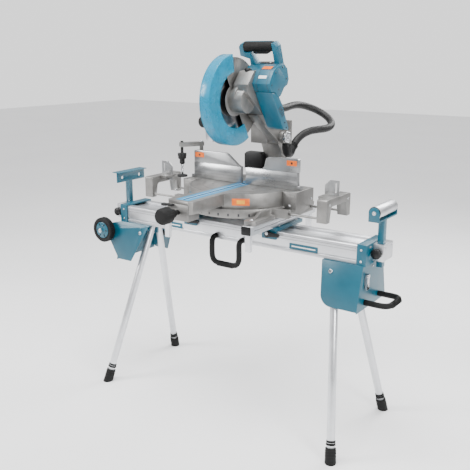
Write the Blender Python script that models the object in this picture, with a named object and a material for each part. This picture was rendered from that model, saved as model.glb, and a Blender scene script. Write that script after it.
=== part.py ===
"""Sliding compound mitre saw bolted on a folding work stand.

X runs along the stand's beam and the saw's fence, -Y is the operator's side and +Z is up.
The stand stands on z = 0 and the whole object's box is centred on x = 0, y = 0.
All sizes are in metres.
"""

import math

import bmesh
import bpy
from mathutils import Matrix, Vector

# ---- clearances
GAP = 0.0003  # between pieces that touch
RUN = 0.0005  # round a piece that turns or slides in another
FREE = 0.0015  # round a large piece that sweeps past its neighbour

# ---- stand: beam and what slides in it
BEAM_LENGTH = 1.16
BEAM_WIDTH = 0.15
BEAM_HEIGHT = 0.07
BEAM_BOTTOM = 0.705
BEAM_WALL = 0.006
RAIL_WIDTH = 0.030  # raised edges along the beam's top
TROUGH_DEPTH = 0.010
GROOVE = 0.003  # line along the beam's long faces
BAR_WIDTH = 0.046
BAR_LENGTH = 0.60
CLAMP_LENGTH = 0.040
CLAMP_HEIGHT = 0.062
POST_SIZE = 0.022
POST_LENGTH = 0.180
ROLLER_RADIUS = 0.0225
ROLLER_LENGTH = 0.150
POST_KNOB_RADIUS = 0.018
SUPPORT_PLATE = 0.003

# ---- stand: ends, legs and wheels
BRACKET_LENGTH = 0.030
SHEET = 0.003
END_WALL = 0.006
HOUSING_LENGTH = 0.160
HOUSING_DEPTH = 0.165
HOUSING_SPLAY = 13.0  # degrees, each side plate
LEG_RADIUS = 0.015
LEG_WALL = 0.002
LEG_PIN_RADIUS = 0.005
LEG_PIVOT_INSET = 0.120  # from the beam's end
LEG_PIVOT_DROP = 0.036  # below the beam
LEG_TRACK = {1: 0.062, -1: 0.026}  # |y| of the leg pivots at the +X and the -X end
LEG_SPREAD = 0.235  # |y| of each foot on the floor
LEG_RAKE = 8.0  # degrees outward along X
FOOT_RADIUS = 0.0195
FOOT_LENGTH = 0.055
WHEEL_RADIUS = 0.055
WHEEL_WIDTH = 0.030
WHEEL_REACH = 0.070  # axle beyond the beam's end
WHEEL_DROP = 0.040  # axle below the beam
AXLE_RADIUS = 0.008
TOW_REACH = 0.090
TOW_WIDTH = 0.120
TOW_DROP = 0.140
CARRY_WIDTH = 0.130
CARRY_DROP = 0.090
CARRY_REACH = 0.028
HANDLE_RADIUS = 0.011

# ---- stand: crossbars that carry the saw
CROSSBAR_LENGTH = 0.48
CROSSBAR_WIDTH = 0.044
CROSSBAR_HEIGHT = 0.035
CROSSBAR_X = 0.190
SADDLE_HEIGHT = 0.0145
SADDLE_WIDTH = 0.066
SADDLE_LENGTH = 0.200
GRIP_DROP = 0.065
GRIP_THICK = 0.015

# ---- saw: base and table, in the saw's own frame (table top, on the fence line)
SAW_Y = 0.020  # fence line behind the beam's middle
BASE_HEIGHT = 0.095
TABLE_RADIUS = 0.215
SCALE_RADIUS = 0.226
TABLE_THICK = 0.056
TOWER_REACH = 0.270
TOWER_FRONT = -0.045
TOWER_REAR = 0.090
FOOT_RAIL_WIDTH = 0.050
FOOT_RAIL_FRONT = -0.245
FOOT_RAIL_REAR = 0.200
ARM_WIDTH = 0.112
ARM_FRONT = -0.405
ARM_DEPTH = 0.045
NOSE_DEPTH = 0.070
KERF_WIDTH = 0.060
KERF_THICK = 0.005
KERF_SLOT = 0.012
KERF_FRONT = -0.384
KERF_REAR = 0.100
MITRE_GRIP_RADIUS = 0.029

# ---- saw: fences, wings and vise
FENCE_THICK = 0.018
FENCE_HEIGHT = 0.066
FENCE_GAP = 0.012  # half of the gap for the blade
FENCE_REACH = 0.247
UPPER_FENCE_TOP = 0.115
WING_OUT = 0.430
WING_WIDTH = 0.040
WING_FRONT = -0.105
WING_REAR = 0.085
WING_DROP = 0.085
WING_ROD_RADIUS = 0.0045
WING_ROD_Z = -0.0715
STOP_PLATE = 0.004
STOP_HEIGHT = 0.055
STOP_WIDTH = 0.058
VISE_X = -0.236
VISE_Y = 0.036
VISE_TOP = 0.148
VISE_REACH = 0.086

# ---- saw: bevel arm, slide rails and head
BOSS_RADIUS = 0.045
RAIL_X = -0.080
RAIL_RADIUS = 0.0125
RAIL_Z = (0.250, 0.312)
RAIL_FRONT = -0.100
COLUMN_FRONT = 0.2505
COLUMN_THICK = 0.040
HOOD_FRONT = 0.217
CARRIAGE_FRONT = 0.115
CARRIAGE_REAR = 0.226
PIVOT = Vector((0.045, 0.170, 0.175))
PIN_RADIUS = 0.008
EYE_RADIUS = 0.030
EYE_HALF = 0.026
HEAD_RAISE = 40.0  # degrees that the head's frame is tipped back at rest
BLADE_RADIUS = 0.1525
BLADE_THICK = 0.0024
BLADE_AXIS = Vector((-0.045, -0.2917, -0.0398))  # from the head's pivot, in its frame
CASE_RADIUS = 0.158
CASE_HALF = 0.016
GUARD_RADIUS = 0.170
GUARD_HALF = 0.0225
GUARD_WALL = 0.003
GUARD_FROM = -160.0  # degrees round the blade axis from the front, in the head's frame
GUARD_TO = 42.0
HANDLE_CENTRE = Vector((0.020, -0.309, 0.141))
HANDLE_TILT = -32.0  # degrees
HANDLE_HALF = 0.016
GRIP_X = (-0.062, 0.064)  # from the handle's centre, as are the grip's other places
GRIP_Y = -0.049
GRIP_RADIUS = 0.0185
TRIGGER_X = (-0.026, 0.044)
TRIGGER_PROUD = 0.009
TRIGGER_TRAVEL = 0.006
SIDE_COVER = 0.046  # half of the gear case's width on its right
MOTOR_REACH = 0.122

# ---- dust duct and hose
HOSE_RADIUS = 0.016
NOZZLE_RADIUS = 0.018
NOZZLE_LENGTH = 0.070
ELBOW_FOOT = Vector((0.075, 0.208, 0.143 - GAP))
HOSE_ROUTE = [
    (0.0750, 0.2680, 0.1340),
    (0.0789, 0.2943, 0.1551),
    (0.0905, 0.3204, 0.1731),
    (0.1098, 0.3454, 0.1850),
    (0.1307, 0.3716, 0.1895),
    (0.1451, 0.4021, 0.1913),
    (0.1497, 0.4353, 0.1952),
    (0.1436, 0.4675, 0.2028),
    (0.1271, 0.4945, 0.2142),
    (0.1024, 0.5124, 0.2284),
    (0.0732, 0.5182, 0.2439),
    (0.0439, 0.5111, 0.2588),
    (0.0189, 0.4923, 0.2712),
    (0.0015, 0.4647, 0.2797),
    (-0.0070, 0.4323, 0.2836),
    (-0.0080, 0.3985, 0.2837),
    (-0.0075, 0.3647, 0.2812),
    (-0.0054, 0.3310, 0.2779),
    (-0.0033, 0.2972, 0.2775),
    (-0.0006, 0.2635, 0.2801),
    (0.0016, 0.2297, 0.2801),
    (0.0024, 0.1958, 0.2804),
    (0.0040, 0.1619, 0.2800),
    (0.0040, 0.1280, 0.2800),
]

TEAL = ("teal", (0.0, 0.30, 0.36, 1.0), 0.4, 0.1)
BLACK = ("black", (0.02, 0.02, 0.022, 1.0), 0.5, 0.0)
RUBBER = ("rubber", (0.015, 0.015, 0.015, 1.0), 0.8, 0.0)
ALUMINIUM = ("aluminium", (0.75, 0.76, 0.78, 1.0), 0.3, 1.0)
CASTING = ("casting", (0.55, 0.55, 0.54, 1.0), 0.45, 0.8)
STEEL = ("steel", (0.6, 0.6, 0.62, 1.0), 0.25, 1.0)
CLEAR_BLUE = ("clear_blue", (0.1, 0.6, 0.75, 0.5), 0.15, 0.0)
KERF_BLUE = ("kerf_blue", (0.2, 0.65, 0.8, 1.0), 0.4, 0.0)

BEAM_TOP = BEAM_BOTTOM + BEAM_HEIGHT
BEAM_END = BEAM_LENGTH / 2
CROSSBAR_BOTTOM = BEAM_TOP + GAP + SADDLE_HEIGHT + GAP
CROSSBAR_TOP = CROSSBAR_BOTTOM + CROSSBAR_HEIGHT
TABLE_TOP = CROSSBAR_TOP + GAP + BASE_HEIGHT


# ---- shapes: each returns a bmesh, closed and facing out


def finished(shape):
    bmesh.ops.recalc_face_normals(shape, faces=shape.faces)
    if shape.calc_volume(signed=True) < 0:
        bmesh.ops.reverse_faces(shape, faces=shape.faces)
    return shape


def prism(outline, plane, low, high):
    """The outline in XY, XZ or YZ, extruded along the third axis from low to high."""
    place = {
        "XY": lambda a, b: (a, b, low),
        "XZ": lambda a, b: (a, low, b),
        "YZ": lambda a, b: (low, a, b),
    }[plane]
    along = {"XY": (0, 0, 1), "XZ": (0, 1, 0), "YZ": (1, 0, 0)}[plane]
    shape = bmesh.new()
    face = shape.faces.new([shape.verts.new(place(a, b)) for a, b in outline])
    grown = bmesh.ops.extrude_face_region(shape, geom=[face])
    moved = [item for item in grown["geom"] if isinstance(item, bmesh.types.BMVert)]
    bmesh.ops.translate(shape, verts=moved, vec=Vector(along) * (high - low))
    return finished(shape)


def box(x, y, z):
    corners = [(x[0], y[0]), (x[1], y[0]), (x[1], y[1]), (x[0], y[1])]
    return prism(corners, "XY", z[0], z[1])


def about(centre, half):
    return (centre - half, centre + half)


def frame_along(start, direction):
    """A matrix with its origin at start and its Z along the direction."""
    turn = Vector(direction).to_track_quat("Z", "Y").to_matrix().to_4x4()
    return Matrix.Translation(start) @ turn


def turned(profile, start, direction, sides):
    """A closed (radius, distance) profile spun round the line from start."""
    shape = bmesh.new()
    rim = [shape.verts.new((radius, 0, along)) for radius, along in profile]
    edges = [shape.edges.new((a, b)) for a, b in zip(rim, rim[1:] + rim[:1])]
    bmesh.ops.spin(
        shape, geom=rim + edges, axis=(0, 0, 1), cent=(0, 0, 0), steps=sides, angle=math.tau
    )
    bmesh.ops.remove_doubles(shape, verts=shape.verts, dist=1e-6)
    bmesh.ops.dissolve_degenerate(shape, edges=shape.edges, dist=1e-6)
    loose = [edge for edge in shape.edges if not edge.link_faces]
    bmesh.ops.delete(shape, geom=loose, context="EDGES")
    shape.transform(frame_along(start, direction))
    return finished(shape)


def rod(start, end, radius, sides=20):
    start, end = Vector(start), Vector(end)
    length = (end - start).length
    shape = bmesh.new()
    bmesh.ops.create_cone(
        shape, cap_ends=True, segments=sides, radius1=radius, radius2=radius, depth=length
    )
    shape.transform(frame_along((start + end) / 2, end - start))
    return finished(shape)


def pipe(start, end, outer, inner, sides=20):
    length = (Vector(end) - Vector(start)).length
    ring = [(outer, length), (outer, 0), (inner, 0), (inner, length)]
    return turned(ring, start, Vector(end) - Vector(start), sides)


def arc(centre, radius, first, last, steps):
    """Points on an arc, with the angles in degrees."""
    points = []
    for step in range(steps + 1):
        angle = math.radians(first + (last - first) * step / steps)
        points.append((centre[0] + radius * math.cos(angle), centre[1] + radius * math.sin(angle)))
    return points


def smooth_path(points, spacing):
    """Evenly spread points on a smooth curve through the given ones."""
    points = [Vector(point) for point in points]
    ends = [2 * points[0] - points[1]] + points + [2 * points[-1] - points[-2]]
    fine = []
    for before, a, b, after in zip(ends, ends[1:], ends[2:], ends[3:]):
        for step in range(12):
            t = step / 12
            fine.append(
                0.5
                * (
                    2 * a
                    + (b - before) * t
                    + (2 * before - 5 * a + 4 * b - after) * t**2
                    + (3 * a - before - 3 * b + after) * t**3
                )
            )
    fine.append(points[-1])
    path, travelled = [fine[0]], 0.0
    for a, b in zip(fine, fine[1:]):
        travelled += (b - a).length
        if travelled >= spacing:
            path.append(b)
            travelled = 0.0
    path[-1] = fine[-1]
    return path


def bent_tube(name, points, radius, spacing, resolution=3):
    """A curve object: a round tube with filled ends. Its first and last pieces are straight."""
    path = [Vector(points[0])] + smooth_path(points[1:-1], spacing) + [Vector(points[-1])]
    curve = bpy.data.curves.new(name, "CURVE")
    curve.dimensions = "3D"
    curve.bevel_depth = radius
    curve.bevel_resolution = resolution
    curve.use_fill_caps = True
    spline = curve.splines.new("POLY")
    spline.points.add(len(path) - 1)
    for point, place in zip(spline.points, path):
        point.co = (*place, 1.0)
    tube = bpy.data.objects.new(name, curve)
    bpy.context.scene.collection.objects.link(tube)
    return tube


def scratch(shape):
    mesh = bpy.data.meshes.new("scratch")
    shape.to_mesh(mesh)
    shape.free()
    item = bpy.data.objects.new("scratch", mesh)
    bpy.context.scene.collection.objects.link(item)
    return item


def combine(base, add=(), cut=()):
    """The base with the add shapes joined on and then the cut shapes taken out."""
    body = scratch(base)
    tools = []
    for shapes, operation in ((add, "UNION"), (cut, "DIFFERENCE")):
        for shape in shapes:
            step = body.modifiers.new("combine", "BOOLEAN")
            step.operation = operation
            step.solver = "EXACT"
            step.object = scratch(shape)
            tools.append(step.object)
    solid = body.evaluated_get(bpy.context.evaluated_depsgraph_get())
    result = bmesh.new()
    result.from_mesh(solid.to_mesh())
    solid.to_mesh_clear()
    for item in [body] + tools:
        mesh = item.data
        bpy.data.objects.remove(item)
        bpy.data.meshes.remove(mesh)
    bmesh.ops.remove_doubles(result, verts=result.verts, dist=1e-6)
    return result


# ---- scene bookkeeping


def clear_scene():
    for item in list(bpy.data.objects):
        bpy.data.objects.remove(item)


def material(finish):
    name, colour, roughness, metallic = finish
    made = bpy.data.materials.get(name)
    if made is None:
        made = bpy.data.materials.new(name)
        made.use_nodes = True
        shader = made.node_tree.nodes["Principled BSDF"]
        shader.inputs["Base Color"].default_value = colour
        shader.inputs["Roughness"].default_value = roughness
        shader.inputs["Metallic"].default_value = metallic
        shader.inputs["Alpha"].default_value = colour[3]
    return made


def node_material(finish, name):
    """Each sub-part has its own copy of its finish."""
    made = material(finish).copy()
    made.name = f"{name}_{finish[0]}"
    return made


def node(name, shape, finish, frame, origin=(0, 0, 0)):
    """One named sub-part: the shape is in its frame's coordinates and turns about origin."""
    shape.transform(Matrix.Translation(-Vector(origin)))
    mesh = bpy.data.meshes.new(name)
    shape.to_mesh(mesh)
    shape.free()
    mesh.shade_smooth()
    mesh.set_sharp_from_angle(angle=math.radians(35))
    mesh.materials.append(node_material(finish, name))
    item = bpy.data.objects.new(name, mesh)
    item.location = origin
    item.parent = frame
    bpy.context.scene.collection.objects.link(item)
    return item


def curve_node(name, points, radius, spacing, finish, frame, resolution=3):
    item = bent_tube(name, points, radius, spacing, resolution)
    item.data.materials.append(node_material(finish, name))
    item.parent = frame
    return item


def frame(name, parent, place):
    """An empty that holds a group of sub-parts."""
    item = bpy.data.objects.new(name, None)
    item.empty_display_size = 0.03
    item.parent = parent
    item.matrix_local = place
    bpy.context.scene.collection.objects.link(item)
    return item


def joint(name, parent, at, direction):
    """An empty on a joint, with its Z along the joint's axis."""
    return frame(f"joint_{name}", parent, frame_along(at, direction))


# ---- stand


def beam(stand):
    half, top = BEAM_WIDTH / 2, BEAM_TOP
    rail, floor = half - RAIL_WIDTH, BEAM_TOP - TROUGH_DEPTH
    groove = BEAM_BOTTOM + 0.012
    side = [
        (half, BEAM_BOTTOM),
        (half, groove),
        (half - GROOVE, groove + 0.0015),
        (half - GROOVE, groove + 0.0045),
        (half, groove + 0.006),
        (half, top - 0.003),
        (half - 0.003, top),
        (rail, top),
        (rail - 0.004, floor),
    ]
    outline = side + [(-y, z) for y, z in reversed(side)]
    body = prism(outline, "YZ", -BEAM_END, BEAM_END)
    channels = [
        box(about(0, BEAM_LENGTH), channel_y(side), channel_z()) for side in (1, -1)
    ]
    node("beam", combine(body, cut=channels), ALUMINIUM, stand)


def channel_y(side):
    """The beam's hollow for the bar that comes out of that end."""
    inner, outer = 0.003, BEAM_WIDTH / 2 - BEAM_WALL
    return (inner, outer) if side > 0 else (-outer, -inner)


def channel_z():
    return (BEAM_BOTTOM + BEAM_WALL, BEAM_TOP - TROUGH_DEPTH - BEAM_WALL)


def extension(side, stand):
    """The bar that slides out of one end, with the block that clamps its post."""
    middle = sum(channel_y(side)) / 2
    low, high = channel_z()
    inner_end = side * (BEAM_END + END_WALL + 2 * GAP - BAR_LENGTH)
    block_start = BEAM_END + END_WALL + 2 * GAP
    block_end = block_start + CLAMP_LENGTH
    bar = box(
        sorted((inner_end, side * (block_start + 0.01))),
        about(middle, BAR_WIDTH / 2),
        (low + RUN, high - RUN),
    )
    block = box(
        sorted((side * block_start, side * block_end)),
        sorted((-side * 0.024, middle + side * BAR_WIDTH / 2)),
        (BEAM_TOP - CLAMP_HEIGHT, BEAM_TOP),
    )
    bore = box(
        about(post_x(side), POST_SIZE / 2 + RUN),
        about(0, POST_SIZE / 2 + RUN),
        (BEAM_BOTTOM - 0.1, BEAM_TOP + 0.1),
    )
    shape = combine(block, add=[bar], cut=[bore])
    node(f"extension_bar_{end_name(side)}", shape, ALUMINIUM, stand)
    joint(f"extension_{end_name(side)}", stand, (side * BEAM_END, middle, (low + high) / 2), (side, 0, 0))


def end_name(side):
    return "right" if side > 0 else "left"


def post_x(side):
    return side * (BEAM_END + END_WALL + 2 * GAP + CLAMP_LENGTH / 2)


def post_top():
    return TABLE_TOP - 0.052


def post_shape(side):
    low = post_top() - POST_LENGTH
    return box(about(post_x(side), POST_SIZE / 2), about(0, POST_SIZE / 2), (low, post_top()))


def roller_support(stand):
    x, top, half = post_x(1), post_top(), ROLLER_LENGTH / 2 + 0.002
    axis = TABLE_TOP - ROLLER_RADIUS
    tray = box(about(x, 0.020), about(0, half + SUPPORT_PLATE), (top - 0.002, top + SUPPORT_PLATE))
    ears = [
        prism(
            [(x - 0.020, top), (x + 0.020, top)] + arc((x, axis), 0.020, 0, 180, 8),
            "XZ",
            *sorted((side * half, side * (half + SUPPORT_PLATE))),
        )
        for side in (1, -1)
    ]
    spindle = rod((x, -half - 0.001, axis), (x, half + 0.001, axis), 0.005, 12)
    shape = combine(post_shape(1), add=[tray] + ears + [spindle])
    node("roller_post", shape, TEAL, stand)
    tube = pipe(
        (x, -ROLLER_LENGTH / 2, axis), (x, ROLLER_LENGTH / 2, axis), ROLLER_RADIUS, 0.005 + RUN, 28
    )
    node("roller", tube, ALUMINIUM, stand, (x, 0, axis))
    joint("post_right", stand, (x, 0, top), (0, 0, 1))
    joint("roller_spin", stand, (x, 0, axis), (0, 1, 0))


def flat_support(stand):
    x, top, half = post_x(-1), post_top(), ROLLER_LENGTH / 2 + 0.012
    neck = box(about(x, POST_SIZE / 2), about(0, POST_SIZE / 2), (top - 0.002, TABLE_TOP - 0.002))
    flange = box((x - 0.014, x + 0.030), about(0, half), (TABLE_TOP - SUPPORT_PLATE, TABLE_TOP))
    skirt = box(
        (x + POST_SIZE / 2 - 0.001, x + POST_SIZE / 2 + SUPPORT_PLATE),
        about(0, half),
        (TABLE_TOP - 0.046, TABLE_TOP - 0.001),
    )
    holes = []
    for side in (1, -1):
        start = (x, side * half * 0.62, TABLE_TOP - 0.026)
        end = (x + 0.03, side * half * 0.62, TABLE_TOP - 0.026)
        holes.append(rod(start, end, 0.007, 12))
    shape = combine(post_shape(-1), add=[neck, flange, skirt], cut=holes)
    node("stop_post", shape, TEAL, stand)
    joint("post_left", stand, (x, 0, top), (0, 0, 1))


def post_knob(side, stand):
    x, z = post_x(side), BEAM_TOP - CLAMP_HEIGHT / 2
    face = min(-side * 0.024, sum(channel_y(side)) / 2 + side * BAR_WIDTH / 2) - GAP
    profile = [
        (0, 0),
        (0.006, 0),
        (0.006, 0.008),
        (POST_KNOB_RADIUS, 0.010),
        (POST_KNOB_RADIUS, 0.024),
        (0.012, 0.028),
        (0, 0.028),
    ]
    shape = turned(profile[::-1], (x, face, z), (0, -1, 0), 16)
    node(f"post_knob_{end_name(side)}", shape, BLACK, stand, (x, face, z))
    joint(f"post_knob_{end_name(side)}", stand, (x, face, z), (0, -1, 0))


def tilted_plate(outline, side):
    """A side plate of a leg housing: its outline in XZ, leaning out from the beam's edge."""
    half = BEAM_WIDTH / 2 + 0.010
    plate = prism(outline, "XZ", 0, SHEET)
    hinge_z = BEAM_BOTTOM - GAP
    plate.transform(Matrix.Translation((0, 0, -hinge_z)))
    plate.transform(Matrix.Rotation(math.radians(HOUSING_SPLAY), 4, "X"))
    plate.transform(Matrix.Translation((0, half, hinge_z)))
    if side < 0:
        plate.transform(Matrix.Scale(-1, 4, (0, 1, 0)))
        bmesh.ops.reverse_faces(plate, faces=plate.faces)
    return plate


def leg_direction(end, side):
    """Unit vector down one leg, and its fold hinge's axis."""
    track = LEG_TRACK[end]
    splay = math.atan2(LEG_SPREAD - track, leg_pivot(end, side).z)
    rake = math.radians(LEG_RAKE)
    down = Vector(
        (
            end * math.sin(rake),
            side * math.cos(rake) * math.sin(splay),
            -math.cos(rake) * math.cos(splay),
        )
    )
    hinge = Vector((0, math.cos(splay), side * math.sin(splay)))
    return down, hinge


def leg_pivot(end, side):
    return Vector(
        (end * (BEAM_END - LEG_PIVOT_INSET), side * LEG_TRACK[end], BEAM_BOTTOM - LEG_PIVOT_DROP)
    )


def leg_housing(end, stand):
    """Folded steel housing under one end of the beam, with the cap round the beam's end."""
    top = BEAM_BOTTOM - GAP
    x_in, x_out = BEAM_END - HOUSING_LENGTH, BEAM_END - 0.0005
    half = BEAM_WIDTH / 2 + 0.010
    low = top - HOUSING_DEPTH
    slant = math.tan(math.radians(HOUSING_SPLAY))
    corner = 0.045
    outline = [(x_in, top - SHEET), (x_in, top), (x_out, top)]
    if end < 0:
        axle = (BEAM_END + WHEEL_REACH, BEAM_BOTTOM - WHEEL_DROP)
        outline += arc(axle, 0.022, 60, -70, 5)
        outline += [(x_out - 0.010, low), (x_in + 0.075, low)]
    else:
        outline += [(x_out, low)]
        outline += arc((x_in + corner + 0.012, low + corner), corner, -90, -170, 6)
    outline = [(end * x, z) for x, z in outline]
    sides = [tilted_plate(outline, side) for side in (1, -1)]
    roof = box(sorted((end * x_in, end * x_out)), about(0, half + 0.001), (top - SHEET, top))
    wide = half + slant * HOUSING_DEPTH
    wall = prism(
        [(-half - 0.001, top), (half + 0.001, top), (wide + 0.001, low), (-wide - 0.001, low)],
        "YZ",
        *sorted((end * (x_out - SHEET), end * x_out)),
    )
    pins = []
    rib_x = leg_pivot(end, 1).x
    rib = box(about(rib_x, 0.018), about(0, 0.004), (BEAM_BOTTOM - LEG_PIVOT_DROP - 0.014, top - 0.001))
    for side in (1, -1):
        pivot, hinge = leg_pivot(end, side), leg_direction(end, side)[1]
        outward = hinge * side
        start = pivot - outward * (pivot.y * side / outward.y * side)
        reach = (half + slant * LEG_PIVOT_DROP - abs(pivot.y)) / abs(outward.y)
        pins.append(rod(start, pivot + outward * reach, LEG_PIN_RADIUS, 12))
    add = sides[1:] + [roof, wall, rib, end_cap(end)] + pins
    if end < 0:
        y = half + slant * WHEEL_DROP + WHEEL_WIDTH + 0.012
        axle_x, axle_z = end * (BEAM_END + WHEEL_REACH), BEAM_BOTTOM - WHEEL_DROP
        add.append(rod((axle_x, -y, axle_z), (axle_x, y, axle_z), AXLE_RADIUS, 16))
    low, high = channel_z()
    past = BEAM_END + END_WALL
    beam_room = box(
        sorted((end * (x_in - 0.01), end * (BEAM_END + GAP))),
        about(0, BEAM_WIDTH / 2 + GAP),
        (BEAM_BOTTOM - GAP, BEAM_TOP + GAP),
    )
    window = box(sorted((end * (BEAM_END - 0.01), end * (past + 0.01))), channel_y(end), (low, high))
    shape = combine(sides[0], add=add, cut=[beam_room, window])
    node(f"leg_housing_{end_name(end)}", shape, TEAL, stand)
    for side in (1, -1):
        leg(end, side, stand)


def end_cap(end):
    """The part of the housing that wraps the beam's end."""
    x = (BEAM_END - BRACKET_LENGTH, BEAM_END + GAP + END_WALL)
    return box(
        sorted((end * x[0], end * x[1])),
        about(0, BEAM_WIDTH / 2 + GAP + 0.005),
        (BEAM_BOTTOM - GAP - 0.002, BEAM_TOP + GAP + 0.005),
    )


def leg(end, side, stand):
    pivot = leg_pivot(end, side)
    down, hinge = leg_direction(end, side)
    name = f"{end_name(end)}_{'rear' if side > 0 else 'front'}"
    length = pivot.z / -down.z
    top = pivot - down * 0.022
    tube_end = pivot + down * (length - 0.012)
    tube = pipe(top, tube_end, LEG_RADIUS, LEG_RADIUS - LEG_WALL, 20)
    bore = rod(pivot - hinge * 0.03, pivot + hinge * 0.03, LEG_PIN_RADIUS + RUN, 12)
    node(f"leg_{name}", combine(tube, cut=[bore]), ALUMINIUM, stand, pivot)
    cup = [
        (0, 0),
        (FOOT_RADIUS + 0.0015, 0),
        (FOOT_RADIUS, FOOT_LENGTH + 0.01),
        (LEG_RADIUS + GAP, FOOT_LENGTH + 0.01),
        (LEG_RADIUS + GAP, 0.022 - GAP),
        (0, 0.022 - GAP),
    ]
    foot = turned(cup[::-1], pivot + down * (length + 0.010), -down, 20)
    bmesh.ops.bisect_plane(
        foot,
        geom=foot.verts[:] + foot.edges[:] + foot.faces[:],
        plane_co=(0, 0, 0),
        plane_no=(0, 0, -1),
        clear_outer=True,
    )
    rim = [edge for edge in foot.edges if edge.is_boundary]
    bmesh.ops.holes_fill(foot, edges=rim)
    node(f"foot_{name}", finished(foot), RUBBER, stand, pivot)
    joint(f"leg_{name}", stand, pivot, hinge * end)


def wheels(stand):
    slant = math.tan(math.radians(HOUSING_SPLAY))
    inner = BEAM_WIDTH / 2 + 0.010 + slant * (WHEEL_DROP + 0.030) + SHEET + 0.005
    x, z = -(BEAM_END + WHEEL_REACH), BEAM_BOTTOM - WHEEL_DROP
    for side, word in ((1, "rear"), (-1, "front")):
        bore, r, w = AXLE_RADIUS + RUN, WHEEL_RADIUS, WHEEL_WIDTH
        profile = [
            (bore, -0.002),
            (0.018, -0.002),
            (0.020, 0.003),
            (r - 0.018, 0.005),
            (r - 0.014, 0),
            (r - 0.003, 0),
            (r, 0.004),
            (r, w - 0.004),
            (r - 0.003, w),
            (r - 0.014, w),
            (r - 0.018, w - 0.005),
            (0.020, w - 0.003),
            (0.018, w),
            (bore, w),
        ]
        shape = turned(profile, (x, side * inner, z), (0, side, 0), 32)
        node(f"wheel_{word}", shape, RUBBER, stand, (x, side * inner, z))
        joint(f"wheel_{word}", stand, (x, side * inner, z), (0, 1, 0))


def handles(stand):
    y, z = -BEAM_WIDTH / 2, BEAM_BOTTOM + 0.012
    half, reach, low = CARRY_WIDTH / 2, y - CARRY_REACH, BEAM_BOTTOM - CARRY_DROP
    points = [
        (-half, y - GAP, z),
        (-half, y - 0.010, z),
        (-half, reach + 0.004, z - 0.006),
        (-half, reach, z - 0.020),
        (-half, reach, low + 0.030),
        (-half + 0.008, reach, low + 0.009),
        (-half + 0.030, reach, low),
    ]
    points += [(-x, y, z) for x, y, z in reversed(points)]
    curve_node("carry_handle", points, HANDLE_RADIUS, 0.011, BLACK, stand)
    x, z = BEAM_END - 0.0005 + GAP, BEAM_BOTTOM - TOW_DROP
    half, reach = TOW_WIDTH / 2, BEAM_END + TOW_REACH
    points = [
        (x, -half, z),
        (x + 0.020, -half, z),
        (reach - 0.030, -half, z),
        (reach - 0.009, -half + 0.008, z),
        (reach, -half + 0.030, z),
    ]
    points += [(x, -y, z) for x, y, z in reversed(points)]
    curve_node("tow_handle", points, HANDLE_RADIUS, 0.011, BLACK, stand)


def leg_lever(stand):
    """Release lever on the end plate: a finger tab on a pin."""
    x, z = BEAM_END + END_WALL + 2 * GAP, BEAM_BOTTOM - 0.040
    y = -0.062
    plate = prism(
        [(y - 0.010, z - 0.050), (y + 0.010, z - 0.050), (y + 0.007, z + 0.008), (y - 0.007, z + 0.008)],
        "YZ",
        BEAM_END + 0.004,
        BEAM_END + 0.012,
    )
    hub = rod((BEAM_END + GAP, y, z), (BEAM_END + 0.014, y, z), 0.009, 16)
    node("leg_release_lever", combine(plate, add=[hub]), STEEL, stand, (x, y, z))
    joint("leg_release", stand, (x, y, z), (1, 0, 0))


def bracket(side, stand):
    """A crossbar on its saddle, with a grip at each end and the lever that locks it."""
    x = side * CROSSBAR_X
    name = end_name(side)
    low = BEAM_TOP + GAP
    half = SADDLE_WIDTH / 2
    channel = [
        (x - half, low),
        (x - half + SHEET, low),
        (x - half + SHEET, low + SADDLE_HEIGHT - SHEET),
        (x + half - SHEET, low + SADDLE_HEIGHT - SHEET),
        (x + half - SHEET, low),
        (x + half, low),
        (x + half, low + SADDLE_HEIGHT),
        (x - half, low + SADDLE_HEIGHT),
    ]
    front = -BEAM_WIDTH / 2 - 0.012
    saddle = prism(channel, "XZ", front, front + SADDLE_LENGTH)
    jaw = box(
        about(x, half - 0.002),
        (front + 0.001, -BEAM_WIDTH / 2 - FREE),
        (BEAM_TOP - 0.030, low + SADDLE_HEIGHT - 0.001),
    )
    node(f"saddle_{name}", combine(saddle, add=[jaw]), TEAL, stand)
    wide, bottom, top = CROSSBAR_WIDTH / 2, CROSSBAR_BOTTOM, CROSSBAR_TOP
    profile = [
        (x - wide, bottom),
        (x + wide, bottom),
        (x + wide, top - 0.004),
        (x + wide - 0.004, top),
        (x + 0.006, top),
        (x + 0.004, top - 0.003),
        (x - 0.004, top - 0.003),
        (x - 0.006, top),
        (x - wide + 0.004, top),
        (x - wide, top - 0.004),
    ]
    bar = prism(profile, "XZ", -CROSSBAR_LENGTH / 2, CROSSBAR_LENGTH / 2)
    grips = []
    for end in (1, -1):
        y = end * (CROSSBAR_LENGTH / 2 - 0.010 - GRIP_THICK / 2)
        grips.append(
            box(about(x, 0.011), about(y, GRIP_THICK / 2), (bottom - GRIP_DROP, bottom + 0.001))
        )
    node(f"crossbar_{name}", combine(bar, add=grips), ALUMINIUM, stand)
    lever_y = front - GAP
    z = BEAM_TOP - 0.010
    hub = rod((x, lever_y, z), (x, lever_y - 0.012, z), 0.012, 16)
    paddle = prism(
        [(x, z - 0.009), (x + 0.048, z - 0.006), (x + 0.052, z), (x + 0.048, z + 0.006), (x, z + 0.009)],
        "XZ",
        lever_y - 0.011,
        lever_y - 0.003,
    )
    node(f"bracket_lever_{name}", combine(hub, add=[paddle]), BLACK, stand, (x, lever_y, z))
    joint(f"bracket_lever_{name}", stand, (x, lever_y, z), (0, -1, 0))


# ---- saw base and table


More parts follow.
